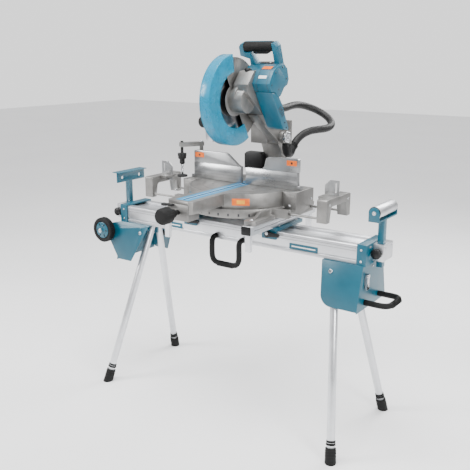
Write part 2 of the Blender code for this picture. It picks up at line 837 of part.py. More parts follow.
def saw_base(saw):
    bottom = -BASE_HEIGHT
    floor = -TABLE_THICK - 0.0005
    plate = rod((0, 0, -0.090), (0, 0, floor - GAP), SCALE_RADIUS, 64)
    add, cut = [], [rod((0, 0, -0.2), (0, 0, floor - 0.007), SCALE_RADIUS - 0.020, 48)]
    for side in (1, -1):
        add.append(
            box(sorted((side * 0.150, side * TOWER_REACH)), (TOWER_FRONT, TOWER_REAR), (-0.0895, 0))
        )
        for y in rod_y():
            add.append(
                box(sorted((side * 0.190, side * TOWER_REACH)), about(y, 0.013), (-0.0885, -0.058))
            )
            cut.append(
                rod((side * 0.1, y, WING_ROD_Z), (side * 0.3, y, WING_ROD_Z), WING_ROD_RADIUS + 0.0015, 12)
            )
        skid = [
            (side * (CROSSBAR_X - FOOT_RAIL_WIDTH / 2), FOOT_RAIL_FRONT + 0.010),
            (side * (CROSSBAR_X - FOOT_RAIL_WIDTH / 2 + 0.010), FOOT_RAIL_FRONT),
            (side * (CROSSBAR_X + FOOT_RAIL_WIDTH / 2 - 0.010), FOOT_RAIL_FRONT),
            (side * (CROSSBAR_X + FOOT_RAIL_WIDTH / 2), FOOT_RAIL_FRONT + 0.010),
            (side * (CROSSBAR_X + FOOT_RAIL_WIDTH / 2), FOOT_RAIL_REAR),
            (side * (CROSSBAR_X - FOOT_RAIL_WIDTH / 2), FOOT_RAIL_REAR),
        ]
        add.append(prism(skid, "XY", bottom, bottom + 0.015))
        add.append(
            prism(
                [
                    (FOOT_RAIL_FRONT + 0.020, bottom + 0.010),
                    (-0.080, bottom + 0.010),
                    (-0.080, -0.060),
                    (-0.170, -0.060),
                ],
                "YZ",
                *sorted((side * (CROSSBAR_X - 0.006), side * (CROSSBAR_X + 0.006))),
            )
        )
    cut.append(rod((0, 0, floor), (0, 0, 0.1), TABLE_RADIUS + FREE, 96))
    cut.append(rod((VISE_X, VISE_Y, -0.05), (VISE_X, VISE_Y, 0.1), 0.008 + RUN, 16))
    node("saw_base", combine(plate, add=add, cut=cut), CASTING, saw)
    joint("bracket_slide", saw, (0, 0, bottom), (1, 0, 0))
    joint("mitre", saw, (0, 0, 0), (0, 0, -1))


def rod_y():
    """The wing rods' places along Y, in line with the wing's legs."""
    return (WING_FRONT + 0.0125, WING_REAR - 0.0125)


def turntable(saw):
    disc = rod((0, 0, -TABLE_THICK), (0, 0, 0), TABLE_RADIUS, 96)
    half = ARM_WIDTH / 2
    arm = prism(
        [(half, -0.1), (half, ARM_FRONT + 0.012), (half - 0.012, ARM_FRONT)]
        + [(-half + 0.012, ARM_FRONT), (-half, ARM_FRONT + 0.012), (-half, -0.1)],
        "XY",
        -ARM_DEPTH,
        -0.00005,
    )
    nose = box(about(0, half - 0.010), (ARM_FRONT - 0.004, ARM_FRONT + 0.060), (-NOSE_DEPTH, -0.012))
    boss = rod((0, TABLE_RADIUS - 0.030, 0), (0, COLUMN_FRONT - RUN, 0), BOSS_RADIUS, 40)
    hollow = rod((0, 0, -0.2), (0, 0, -0.014), TABLE_RADIUS - 0.014, 72)
    arm_hollow = box(about(0, half - 0.007), (ARM_FRONT + 0.070, -0.180), (-0.2, -0.014))
    recess = box(
        about(0, KERF_WIDTH / 2 + GAP),
        (KERF_FRONT - GAP, KERF_REAR + GAP),
        (-KERF_THICK - GAP, 0.05),
    )
    slot = box(about(0, KERF_SLOT / 2 + 0.002), (KERF_FRONT + 0.005, KERF_REAR - 0.003), (-0.030, 0.05))
    cut = [hollow, arm_hollow, recess, slot]
    node("turntable", combine(disc, add=[arm, nose, boss], cut=cut), CASTING, saw)
    board = box(about(0, KERF_WIDTH / 2), (KERF_FRONT, KERF_REAR), (-KERF_THICK, -GAP))
    gap = box(about(0, KERF_SLOT / 2), (KERF_FRONT + 0.008, KERF_REAR - 0.006), (-0.05, 0.05))
    node("kerf_board", combine(board, cut=[gap]), KERF_BLUE, saw)


def mitre_controls(saw):
    """The screw grip at the arm's front, and the detent lever above it."""
    start, z, r = ARM_FRONT - 0.004 - GAP, -0.040, MITRE_GRIP_RADIUS
    profile = [
        (0, 0),
        (0.009, 0),
        (0.009, 0.022),
        (0.016, 0.024),
        (0.018, 0.045),
        (r, 0.052),
        (r, 0.088),
        (r - 0.005, 0.096),
        (0, 0.096),
    ]
    shape = turned(profile[::-1], (0, start, z), (0, -1, 0), 24)
    node("mitre_grip", shape, RUBBER, saw, (0, start, z))
    joint("mitre_grip", saw, (0, start, z), (0, -1, 0))
    pin = (-0.030, start - 0.008, -0.0145)
    plate = box((-0.045, -0.016), (start - 0.016, start - GAP), (-0.018, -0.011))
    tab = box((-0.062, -0.040), (start - 0.018, start - 0.002), (-0.020, -0.011))
    node("detent_lever", combine(plate, add=[tab]), BLACK, saw, pin)
    joint("detent_lever", saw, pin, (0, -1, 0))


def fences(saw):
    low = 0.0005
    for side in (1, -1):
        name = end_name(side)
        face = box(sorted((side * FENCE_GAP, side * FENCE_REACH)), (0, FENCE_THICK), (low, FENCE_HEIGHT))
        foot = box(sorted((side * 0.220, side * 0.262)), (0.001, 0.026), (low, 0.014))
        web = prism(
            [(0.001, low), (0.024, low), (0.020, 0.030), (0.001, 0.050)],
            "YZ",
            *sorted((side * 0.235, side * 0.2465)),
        )
        shape = combine(face, add=[foot, web])
        node(f"fence_{name}", shape, ALUMINIUM, saw)
    low = FENCE_HEIGHT + RUN
    left = [
        (-FENCE_REACH, low),
        (-0.016, low),
        (-0.026, low + 0.004),
        (-0.078, UPPER_FENCE_TOP - 0.004),
        (-0.086, UPPER_FENCE_TOP),
        (-FENCE_REACH + 0.004, UPPER_FENCE_TOP),
        (-FENCE_REACH, UPPER_FENCE_TOP - 0.004),
    ]
    right = [
        (0.088, low),
        (FENCE_REACH + 0.004, low),
        (FENCE_REACH + 0.004, UPPER_FENCE_TOP),
        (FENCE_REACH, UPPER_FENCE_TOP + 0.004),
        (0.118, UPPER_FENCE_TOP),
        (0.106, UPPER_FENCE_TOP - 0.006),
        (0.098, low + 0.012),
    ]
    for name, outline, x in (("left", left, -1), ("right", right, 1)):
        shape = prism(outline, "XZ", 0.0008, FENCE_THICK - 0.001)
        node(f"upper_fence_{name}", shape, ALUMINIUM, saw)
        joint(f"upper_fence_{name}", saw, (x * 0.15, FENCE_THICK / 2, low), (x, 0, 0))


def wing(side, saw):
    """A side support: a U-shaped casting on two rods, with its stop plate in a slot."""
    inner = WING_OUT - WING_WIDTH
    outline = [
        (WING_FRONT, -0.004),
        (WING_FRONT + 0.004, 0),
        (WING_REAR - 0.004, 0),
        (WING_REAR, -0.004),
        (WING_REAR, -WING_DROP),
        (WING_REAR - 0.025, -WING_DROP),
        (WING_REAR - 0.034, -0.034),
        (WING_REAR - 0.042, -0.028),
        (WING_FRONT + 0.042, -0.028),
        (WING_FRONT + 0.034, -0.034),
        (WING_FRONT + 0.025, -WING_DROP),
        (WING_FRONT, -WING_DROP),
    ]
    casting = prism(outline, "YZ", *sorted((side * inner, side * WING_OUT)))
    tongue_x = sorted((side * (inner - 0.026), side * (inner + 0.001)))
    tongue = box(tongue_x, (-0.048, 0.036), (-0.010, -0.0002))
    rods = [
        rod((side * 0.206, y, WING_ROD_Z), (side * (inner + 0.010), y, WING_ROD_Z), WING_ROD_RADIUS, 12)
        for y in rod_y()
    ]
    slot_y = about(0, STOP_PLATE / 2 + RUN)
    stop_in, stop_out = WING_OUT - 0.006 - STOP_WIDTH, WING_OUT - 0.006
    slot = box(sorted((side * (stop_in - 0.02), side * (stop_out + RUN))), slot_y, (-0.1, 0.05))
    name = end_name(side)
    node(f"wing_{name}", combine(casting, add=[tongue] + rods, cut=[slot]), CASTING, saw)
    joint(f"wing_{name}", saw, (side * inner, 0, WING_ROD_Z), (-side, 0, 0))
    low = -0.026
    plate = prism(
        [
            (side * stop_in, low),
            (side * stop_out, low),
            (side * stop_out, STOP_HEIGHT),
            (side * (stop_in + 0.020), STOP_HEIGHT),
            (side * stop_in, STOP_HEIGHT - 0.020),
        ],
        "XZ",
        -STOP_PLATE / 2,
        STOP_PLATE / 2,
    )
    window = box(
        sorted((side * (stop_out - 0.016), side * (stop_out - 0.010))), (-0.05, 0.05), (0.010, 0.045)
    )
    node(f"stop_plate_{name}", combine(plate, cut=[window]), CASTING, saw)
    joint(f"stop_plate_{name}", saw, (side * stop_in, 0, 0), (0, 0, -1))


def vise(saw):
    """The hold-down: a post behind the fence, its swung-out arm and the screw with its pad."""
    away = Vector((-0.045, -0.073, 0)).normalized() * VISE_REACH
    post = rod((VISE_X, VISE_Y, -0.045), (VISE_X, VISE_Y, VISE_TOP - 0.006), 0.008, 16)
    top = Vector((VISE_X, VISE_Y, VISE_TOP))
    tip = top + away
    across = away.normalized().cross(Vector((0, 0, 1))) * 0.011
    near, far = top - away * 0.10, tip + away * 0.10
    corners = [near + across, far + across, far - across, near - across]
    outline = [(point.x, point.y) for point in corners]
    arm = prism(outline, "XY", VISE_TOP - 0.018, VISE_TOP)
    bore = rod(tip - Vector((0, 0, 0.1)), tip + Vector((0, 0, 0.1)), 0.006 + RUN, 16)
    node("vise_arm", combine(post, add=[arm], cut=[bore]), CASTING, saw, (VISE_X, VISE_Y, 0))
    pad = 0.006
    profile = [
        (0, pad),
        (0.021, pad),
        (0.021, pad + 0.007),
        (0.012, pad + 0.010),
        (0.004, pad + 0.010),
        (0.004, pad + 0.050),
        (0.011, pad + 0.055),
        (0.011, pad + 0.072),
        (0.017, pad + 0.076),
        (0.017, pad + 0.096),
        (0.006, pad + 0.100),
        (0.006, VISE_TOP + 0.006),
        (0, VISE_TOP + 0.006),
    ]
    shape = turned(profile[::-1], (tip.x, tip.y, 0), (0, 0, 1), 20)
    node("vise_screw", shape, BLACK, saw, (tip.x, tip.y, 0))
    joint("vise_swing", saw, (VISE_X, VISE_Y, 0), (0, 0, -1))
    joint("vise_screw", saw, (tip.x, tip.y, 0), (0, 0, 1))


# ---- bevel arm, rails, carriage


def bevel_group(saw):
    y0, y1 = COLUMN_FRONT, COLUMN_FRONT + COLUMN_THICK
    outline = (
        arc((0, 0), BOSS_RADIUS, -150, 20, 12)
        + [(0.020, 0.110), (-0.030, 0.200), (-0.048, 0.330), (-0.056, 0.345)]
        + [(-0.106, 0.345), (-0.112, 0.335), (-0.112, 0.215), (-0.070, 0.110)]
    )
    node("bevel_arm", prism(outline, "XZ", y0, y1), CASTING, saw)
    joint("bevel", saw, (0, y0, 0), (0, -1, 0))
    plate = prism(
        arc((RAIL_X, RAIL_Z[1] + 0.004), 0.026, 0, 180, 8)
        + arc((RAIL_X + 0.002, 0.190), 0.020, 180, 360, 8),
        "XZ",
        RAIL_FRONT - 0.014,
        RAIL_FRONT,
    )
    rails = [
        rod((RAIL_X, RAIL_FRONT - 0.001, z), (RAIL_X, y0 - GAP, z), RAIL_RADIUS, 24) for z in RAIL_Z
    ]
    node("slide_rails", combine(plate, add=rails), STEEL, saw)
    knob = (RAIL_X, RAIL_FRONT - 0.014 - GAP, RAIL_Z[0] + 0.002)
    profile = [
        (0, 0),
        (0.010, 0),
        (0.010, 0.012),
        (0.022, 0.016),
        (0.022, 0.040),
        (0.017, 0.046),
        (0, 0.046),
    ]
    node("bevel_knob", turned(profile[::-1], knob, (0, -1, 0), 20), RUBBER, saw, knob)
    joint("bevel_knob", saw, knob, (0, -1, 0))
    hood = prism(
        [(-0.142, 0.022), (-0.132, 0.015), (-0.060, 0.015), (-0.052, 0.022), (-0.052, 0.085)]
        + [(-0.062, 0.094), (-0.130, 0.094), (-0.142, 0.084)],
        "XZ",
        HOOD_FRONT,
        y0 - GAP,
    )
    node("dust_hood", hood, BLACK, saw)


def carriage(saw):
    """Slides on both rails and carries the head's pivot between its two ears."""
    y0, y1 = CARRIAGE_FRONT, CARRIAGE_REAR
    block = box(about(RAIL_X, 0.024), (y0, y1), (RAIL_Z[0] - 0.026, RAIL_Z[1] + 0.024))
    bores = [rod((RAIL_X, 0, z), (RAIL_X, 0.4, z), RAIL_RADIUS + RUN, 24) for z in RAIL_Z]
    eye_left, eye_right = PIVOT.x - EYE_HALF, PIVOT.x + EYE_HALF
    web = box((RAIL_X + 0.020, eye_left - RUN), (PIVOT.y - 0.026, y1 - 0.001), (0.145, 0.252))
    back_y = PIVOT.y + EYE_RADIUS + 0.004
    back = box((eye_left - 0.010, eye_right + 0.018), (back_y, y1 - 0.002), (0.143, 0.238))
    ear = prism(
        arc((PIVOT.y, PIVOT.z), 0.024, 90, 270, 10) + [(y1 - 0.003, 0.151), (y1 - 0.003, 0.199)],
        "YZ",
        eye_right + RUN,
        eye_right + 0.0185,
    )
    pin_bore = rod((eye_left - 0.05, PIVOT.y, PIVOT.z), (0.2, PIVOT.y, PIVOT.z), PIN_RADIUS + RUN, 20)
    shape = combine(block, add=[web, back, ear], cut=bores + [pin_bore])
    node("carriage", shape, CASTING, saw)
    joint("carriage", saw, (RAIL_X, y0, RAIL_Z[0]), (0, -1, 0))
    head_x = eye_right + 0.0185 + RUN
    profile = [
        (0, 0),
        (PIN_RADIUS, 0),
        (PIN_RADIUS, head_x - eye_left + 0.045),
        (0.018, head_x - eye_left + 0.045),
        (0.018, head_x - eye_left + 0.051),
        (0, head_x - eye_left + 0.053),
    ]
    pin_start = (eye_left - 0.045, PIVOT.y, PIVOT.z)
    node("pivot_pin", turned(profile[::-1], pin_start, (1, 0, 0), 20), STEEL, saw, PIVOT)
    elbow(saw)


def elbow(saw):
    """The black elbow that turns the dust duct up into the hose, and the hose."""
    start = Vector(HOSE_ROUTE[0])
    along = (Vector(HOSE_ROUTE[1]) - start).normalized()
    route = [
        ELBOW_FOOT,
        ELBOW_FOOT + Vector((0, 0, -0.012)),
        ELBOW_FOOT + Vector((0, 0.008, -0.036)),
        ELBOW_FOOT + Vector((0, 0.026, -0.042)),
        start - along * 0.014,
        start - along * GAP,
    ]
    curve_node("hose_elbow", route, HOSE_RADIUS + 0.003, 0.009, BLACK, saw)
    curve_node("dust_hose", HOSE_ROUTE, HOSE_RADIUS, 2.2 * HOSE_RADIUS, RUBBER, saw)


# ---- head, in its own frame: origin on the chop pivot, -Y towards the blade


def around_blade(radius, first, last, steps):
    """Arc round the blade axis in YZ; 0 is the front and 90 is up."""
    centre = (BLADE_AXIS.y, BLADE_AXIS.z)
    return arc(centre, radius, 180 - first, 180 - last, steps)


def head_group(head):
    bx, by, bz = BLADE_AXIS
    eye = rod((-EYE_HALF, 0, 0), (EYE_HALF, 0, 0), EYE_RADIUS, 32)
    spine = prism(
        [
            (0.012, -0.026),
            (0.012, 0.026),
            (-0.060, 0.034),
            (-0.200, 0.034),
            (-0.200, -0.040),
            (-0.120, -0.040),
        ],
        "YZ",
        -0.017,
        0.026,
    )
    gear = prism(
        [(-0.195, -0.034), (-0.195, 0.066), (-0.336, 0.066), (-0.350, 0.052), (-0.350, -0.010)]
        + [(-0.330, -0.034)],
        "YZ",
        -0.0175,
        SIDE_COVER,
    )
    hub = rod((bx + CASE_HALF + GAP, by, bz), (0.030, by, bz), 0.046, 36)
    neck = rod((bx + 0.030, by, bz + 0.010), (0.0, by, bz + 0.010), 0.052, 36)
    bore = rod((-0.1, 0, 0), (0.1, 0, 0), PIN_RADIUS + RUN, 20)
    shaft_bore = rod((-0.1, by, bz), (0.010, by, bz), 0.010 + RUN, 20)
    ring = pipe(
        (bx + CASE_HALF, by, bz), (bx + GUARD_HALF + RUN, by, bz), GUARD_RADIUS + 0.01, 0.047, 36
    )
    shape = combine(gear, add=[spine, eye, hub, neck], cut=[ring, bore, shaft_bore])
    node("gear_case", shape, CASTING, head)
    joint("chop", head, (0, 0, 0), (1, 0, 0))
    blade_group(head)
    motor_group(head)


def blade_group(head):
    bx, by, bz = BLADE_AXIS
    disc = rod((bx - BLADE_THICK / 2, by, bz), (bx + BLADE_THICK / 2, by, bz), BLADE_RADIUS, 72)
    arbor = turned(
        [
            (0, 0.036),
            (0.010, 0.036),
            (0.010, 0.006),
            (0.024, 0.006),
            (0.024, -0.004),
            (0.012, -0.006),
            (0.012, -0.013),
            (0, -0.013),
        ],
        (bx, by, bz),
        (1, 0, 0),
        24,
    )
    node("blade", combine(disc, add=[arbor]), STEEL, head, BLADE_AXIS)
    joint("blade_spin", head, BLADE_AXIS, (1, 0, 0))
    case(head)
    lower_guard(head)


def case(head):
    """The fixed half shell over the top and back of the blade."""
    bx, by, bz = BLADE_AXIS
    outer = around_blade(CASE_RADIUS, 20, 200, 32)
    body = prism(outer, "YZ", bx - CASE_HALF, bx + CASE_HALF)
    room = rod(
        (bx - CASE_HALF + 0.003, by, bz), (bx + CASE_HALF - 0.003, by, bz), BLADE_RADIUS + 0.0025, 64
    )
    wing_plate = prism(
        around_blade(0.060, 200, 380, 16), "YZ", bx + CASE_HALF - 0.003, bx + CASE_HALF
    )
    hole = rod((bx - 0.002, by, bz), (bx + 0.05, by, bz), 0.026, 28)
    hole_left = rod((bx - 0.05, by, bz), (bx + 0.002, by, bz), 0.026, 28)
    shape = combine(body, add=[wing_plate, nozzle()], cut=[room, hole, hole_left])
    node("blade_case", shape, CASTING, head)


def nozzle():
    """The case's dust outlet, which the hose ends against."""
    tip_forward = Matrix.Rotation(math.radians(HEAD_RAISE), 3, "X")
    start = tip_forward @ (Vector(HOSE_ROUTE[-1]) - PIVOT)
    along = tip_forward @ (Vector(HOSE_ROUTE[-1]) - Vector(HOSE_ROUTE[-2])).normalized()
    return rod(start + along * GAP, start + along * NOZZLE_LENGTH, NOZZLE_RADIUS, 20)


def lower_guard(head):
    """The clear shell that swings back over the case as the head comes down."""
    bx, by, bz = BLADE_AXIS
    inner_half = GUARD_HALF - GUARD_WALL
    outline = around_blade(GUARD_RADIUS, GUARD_FROM, GUARD_TO, 44)
    outline += around_blade(0.052, GUARD_TO, GUARD_FROM, 24)
    body = prism(outline, "YZ", bx - GUARD_HALF, bx + GUARD_HALF)
    hollow = rod(
        (bx - inner_half, by, bz), (bx + inner_half, by, bz), GUARD_RADIUS - GUARD_WALL, 96
    )
    right = rod((bx + 0.001, by, bz), (bx + 0.05, by, bz), 0.105, 64)
    node("lower_guard", combine(body, cut=[hollow, right]), CLEAR_BLUE, head, BLADE_AXIS)
    joint("lower_guard", head, BLADE_AXIS, (1, 0, 0))


def motor_group(head):
    """Motor body with its D-shaped handle, the tail behind it, the grip and the trigger."""
    side = SIDE_COVER + GAP
    body = prism(
        [(-0.262, 0.0205), (-0.229, 0.088), (-0.236, 0.108), (-0.270, 0.130), (-0.300, 0.128)]
        + [(-0.322, 0.100), (-0.340, 0.062), (-0.332, 0.008), (-0.300, -0.002)],
        "YZ",
        side,
        MOTOR_REACH,
    )
    bridge = prism(
        [
            (-0.246, 0.0665 + GAP),
            (-0.246, 0.118),
            (-0.270, 0.130),
            (-0.296, 0.130),
            (-0.314, 0.102),
            (-0.318, 0.0665 + GAP),
        ],
        "YZ",
        BLADE_AXIS.x + GUARD_HALF + FREE,
        side + 0.001,
    )
    place = Matrix.Translation(HANDLE_CENTRE) @ Matrix.Rotation(math.radians(HANDLE_TILT), 4, "X")
    handle, grip, trigger = handle_shape(), grip_shape(), trigger_shape()
    for shape in (handle, grip, trigger):
        shape.transform(place)
    node("motor_housing", combine(body, add=[bridge, handle]), TEAL, head)
    node("handle_grip", grip, RUBBER, head)
    node("trigger", trigger, BLACK, head)
    joint("trigger", head, HANDLE_CENTRE, place.to_3x3() @ Vector((0, -1, 0)))
    tail = prism(
        [(-0.2995, -0.0025), (-0.262, 0.0202), (-0.206, 0.010), (-0.112, -0.028), (-0.108, -0.036)]
        + [(-0.140, -0.052), (-0.150, -0.051)],
        "YZ",
        side,
        MOTOR_REACH,
    )
    node("battery_housing", tail, TEAL, head)


def handle_shape():
    """A flat D-shaped loop: X across, Y from the grip back to the motor. Its front bar is the grip."""
    guard_side = BLADE_AXIS.x + GUARD_HALF + FREE - HANDLE_CENTRE.x
    left, right = GRIP_X
    outer = [(left - 0.020, -0.052), (left - 0.010, -0.064), (right + 0.012, -0.064)]
    outer += [(right + 0.022, -0.052), (right + 0.024, 0.060), (right + 0.016, 0.075)]
    outer += [(guard_side + 0.010, 0.050), (guard_side, 0.040), (guard_side, -0.006), (left - 0.020, -0.018)]
    body = prism(outer, "XY", -HANDLE_HALF, HANDLE_HALF)
    opening = prism(
        [
            (left + 0.006, -0.1),
            (right, -0.1),
            (right + 0.002, 0.014),
            (left + 0.044, 0.014),
            (left + 0.022, -0.034),
        ],
        "XY",
        -0.05,
        0.05,
    )
    room = box((left - GAP, right + GAP), (-0.1, -0.030), (-0.05, 0.05))
    return combine(body, cut=[opening, room])


def grip_shape():
    """The rubber bar between the loop's two posts, with the slot that the trigger sinks into."""
    bar = rod((GRIP_X[0], GRIP_Y, 0), (GRIP_X[1], GRIP_Y, 0), GRIP_RADIUS, 24)
    slot = box(
        (TRIGGER_X[0] - RUN, TRIGGER_X[1] + RUN),
        (trigger_back() - TRIGGER_TRAVEL - RUN, 0),
        about(0, 0.0075 + RUN),
    )
    return combine(bar, cut=[slot])


def trigger_back():
    return GRIP_Y + GRIP_RADIUS - 0.005


def trigger_shape():
    front = GRIP_Y + GRIP_RADIUS + TRIGGER_PROUD
    outline = [
        (TRIGGER_X[0], trigger_back()),
        (TRIGGER_X[1], trigger_back()),
        (TRIGGER_X[1], front - 0.004),
        (TRIGGER_X[1] - 0.010, front),
        (TRIGGER_X[0] + 0.010, front),
        (TRIGGER_X[0], front - 0.004),
    ]
    return prism(outline, "XY", -0.0075, 0.0075)


def centre_on_floor(row):
    """Moves the whole object so that its box is centred on the origin; the hose is left out."""
    bpy.context.view_layer.update()
    low, high = Vector((9, 9, 9)), Vector((-9, -9, -9))
    for item in bpy.data.objects:
        if item.type == "MESH" or (item.type == "CURVE" and item.name != "dust_hose"):
            solid = item.evaluated_get(bpy.context.evaluated_depsgraph_get())
            mesh = solid.to_mesh()
            for vertex in mesh.vertices:
                point = solid.matrix_world @ vertex.co
                low = Vector(map(min, low, point))
                high = Vector(map(max, high, point))
            solid.to_mesh_clear()
    row.location = (-(low.x + high.x) / 2, -(low.y + high.y) / 2, 0)


def main():
    clear_scene()
    row = frame("row", None, Matrix.Identity(4))
    stand = frame("stand", row, Matrix.Identity(4))
    saw = frame("saw", row, Matrix.Translation((0, SAW_Y, TABLE_TOP)))
    tip_back = Matrix.Rotation(math.radians(-HEAD_RAISE), 4, "X")
    head = frame("head", saw, Matrix.Translation(PIVOT) @ tip_back)
    beam(stand)
    for side in (1, -1):
        extension(side, stand)
        post_knob(side, stand)
        leg_housing(side, stand)
        bracket(side, stand)
    roller_support(stand)
    flat_support(stand)
    wheels(stand)
    handles(stand)
    leg_lever(stand)
    saw_base(saw)
    turntable(saw)
    mitre_controls(saw)
    fences(saw)
    for side in (1, -1):
        wing(side, saw)
    vise(saw)
    bevel_group(saw)
    carriage(saw)
    head_group(head)
    centre_on_floor(row)


main()
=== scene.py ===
import math

import bmesh
import bpy
from mathutils import Matrix, Vector


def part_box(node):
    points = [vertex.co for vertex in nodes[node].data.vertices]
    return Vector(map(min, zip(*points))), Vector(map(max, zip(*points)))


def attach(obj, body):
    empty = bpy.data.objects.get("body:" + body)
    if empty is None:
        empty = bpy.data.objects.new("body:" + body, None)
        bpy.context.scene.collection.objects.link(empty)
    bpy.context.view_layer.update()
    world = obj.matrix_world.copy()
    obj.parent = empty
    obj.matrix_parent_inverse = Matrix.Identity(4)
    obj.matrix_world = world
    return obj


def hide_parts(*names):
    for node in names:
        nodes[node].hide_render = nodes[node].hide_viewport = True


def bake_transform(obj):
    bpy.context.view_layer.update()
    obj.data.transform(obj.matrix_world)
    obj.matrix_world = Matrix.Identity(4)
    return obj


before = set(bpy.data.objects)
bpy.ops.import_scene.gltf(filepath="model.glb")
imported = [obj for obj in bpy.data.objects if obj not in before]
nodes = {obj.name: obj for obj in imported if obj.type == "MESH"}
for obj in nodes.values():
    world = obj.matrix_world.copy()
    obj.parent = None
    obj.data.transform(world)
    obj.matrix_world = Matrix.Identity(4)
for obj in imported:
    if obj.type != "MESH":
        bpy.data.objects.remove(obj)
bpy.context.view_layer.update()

print("frame loaded:", len(nodes), "solids")


# places on the machine, all taken from the solids

def middle(node):
    low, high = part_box(node)
    return (low + high) / 2


def spread(node):
    low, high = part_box(node)
    return high - low


sawOrigin = Vector((middle("turntable").x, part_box("fence_left")[0].y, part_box("saw_base")[1].z))
pivot = Vector((sawOrigin.x + 0.045, middle("pivot_pin").y, middle("pivot_pin").z))
headFrame = Matrix.Translation(pivot) @ Matrix.Rotation(math.radians(-40), 4, "X")
arbor = Vector((sawOrigin.x, middle("blade").y, middle("blade").z))  # middle of the blade
arborInHead = headFrame.inverted() @ arbor


def onSaw(x, y, z):
    return sawOrigin + Vector((x, y, z))


def onHead(x, y, z):
    return headFrame @ Vector((x, y, z))


def headAxis(x, y, z):
    return (headFrame.to_3x3() @ Vector((x, y, z))).normalized()


# node helpers for the finishes

def newFinish(name):
    material = bpy.data.materials.new(name)
    material.use_nodes = True
    tree = material.node_tree
    return material, tree, tree.nodes["Principled BSDF"]


def linked(tree, kind, inputs=(), **settings):
    node = tree.nodes.new(kind)
    for key, value in settings.items():
        setattr(node, key, value)
    for key, value in dict(inputs).items():
        if isinstance(value, bpy.types.NodeSocket):
            tree.links.new(value, node.inputs[key])
        else:
            node.inputs[key].default_value = value
    return node


def placeOn(tree, stretch=(1, 1, 1), turn=(0, 0, 0)):
    spot = linked(tree, "ShaderNodeTexCoord")
    return linked(tree, "ShaderNodeMapping", {"Vector": spot.outputs["Object"], "Scale": stretch,
                                              "Rotation": turn}).outputs[0]


def grain(tree, where, scale, detail=3, roughness=0.55):
    return linked(tree, "ShaderNodeTexNoise", {"Vector": where, "Scale": scale, "Detail": detail,
                                               "Roughness": roughness}).outputs[0]


def ramp(tree, value, low, high, start=0.0, end=1.0):
    return linked(tree, "ShaderNodeMapRange", {0: value, 1: low, 2: high, 3: start, 4: end}).outputs[0]


def blendColours(tree, share, first, second):
    mix = linked(tree, "ShaderNodeMix", data_type="RGBA")
    for spot, value in ((0, share), (6, first), (7, second)):
        if isinstance(value, bpy.types.NodeSocket):
            tree.links.new(value, mix.inputs[spot])
        else:
            mix.inputs[spot].default_value = value if isinstance(value, float) else (*value, 1)
    return mix.outputs[2]


def wornEdge(tree, radius):
    # nought on flat faces, rising to one along outer edges
    bevelled = linked(tree, "ShaderNodeBevel", {"Radius": radius}, samples=4)
    flat = linked(tree, "ShaderNodeNewGeometry")
    dot = linked(tree, "ShaderNodeVectorMath", {0: bevelled.outputs[0], 1: flat.outputs["Normal"]},
                 operation="DOT_PRODUCT")
    return ramp(tree, dot.outputs["Value"], 0.995, 0.80)


# every finish has its own values: colours, size of the grain, how rough, how deep the bump is
def surface(name, colour, second, blotch=9.0, fine=220.0, stretch=(1, 1, 1), rough=(0.35, 0.5), bump=0.1,
            depth=0.0004,
            metal=0.0, coat=0.0, coatRough=0.1, edge=None, edgeShare=0.6, speck=0.0, specular=0.5):
    material, tree, shader = newFinish(name)
    where = placeOn(tree, stretch)
    broad = grain(tree, placeOn(tree), blotch, 4, 0.6)
    small = grain(tree, where, fine, 4, 0.6)
    tone = blendColours(tree, ramp(tree, broad, 0.36, 0.66), colour, second)
    if speck:
        dots = ramp(tree, grain(tree, where, fine * 1.7, 2, 0.5), 0.62, 0.72, 0.0, speck)
        tone = blendColours(tree, dots, tone, tuple(min(1.0, c * 1.6 + 0.02) for c in colour))
    if edge:
        rub = linked(tree, "ShaderNodeMath", {0: wornEdge(tree, 0.0016),
                                              1: ramp(tree, broad, 0.30, 0.62, 0.25, edgeShare)},
                                              operation="MULTIPLY")
        tone = blendColours(tree, rub.outputs[0], tone, edge)
    tree.links.new(tone, shader.inputs["Base Color"])
    both = linked(tree, "ShaderNodeMath", {0: broad, 1: small}, operation="ADD")
    tree.links.new(ramp(tree, both.outputs[0], 0.7, 1.3, *rough), shader.inputs["Roughness"])
    lift = linked(tree, "ShaderNodeBump", {"Strength": bump, "Distance": depth, "Height": small})
    tree.links.new(lift.outputs[0], shader.inputs["Normal"])
    shader.inputs["Metallic"].default_value = metal
    shader.inputs["Coat Weight"].default_value = coat
    shader.inputs["Coat Roughness"].default_value = coatRough
    shader.inputs["Specular IOR Level"].default_value = specular
    return material


tealShell = surface("teal moulded shell", (0.0, 0.078, 0.128), (0.0, 0.098, 0.158), fine=900, rough=(0.30, 0.44),
                    bump=0.12,
                    depth=0.0002, coat=0.15, coatRough=0.25, edge=(0.01, 0.19, 0.27), edgeShare=0.35)
tealPowder = surface("teal powder coat", (0.0, 0.066, 0.104), (0.0, 0.084, 0.130), fine=1300, rough=(0.32, 0.46),
                     bump=0.22,
                     depth=0.0002, coat=0.2, coatRough=0.3, edge=(0.02, 0.18, 0.25), edgeShare=0.4)
blackMoulded = surface("black moulded plastic", (0.0035, 0.0035, 0.0038), (0.007, 0.007, 0.0075), fine=1100,
                       rough=(0.36, 0.55),
                       bump=0.2, depth=0.0002, edge=(0.03, 0.03, 0.032), edgeShare=0.4, specular=0.35)
blackRubber = surface("black rubber", (0.003, 0.003, 0.003), (0.006, 0.006, 0.006), fine=1500, rough=(0.55, 0.78),
                      bump=0.35,
                      depth=0.00025, edge=(0.018, 0.018, 0.018), edgeShare=0.5, specular=0.25)
hoseRubber = surface("black hose rubber", (0.002, 0.002, 0.002), (0.005, 0.005, 0.005), fine=700, rough=(0.42, 0.58),
                     bump=0.1,
                     depth=0.0002, specular=0.4)
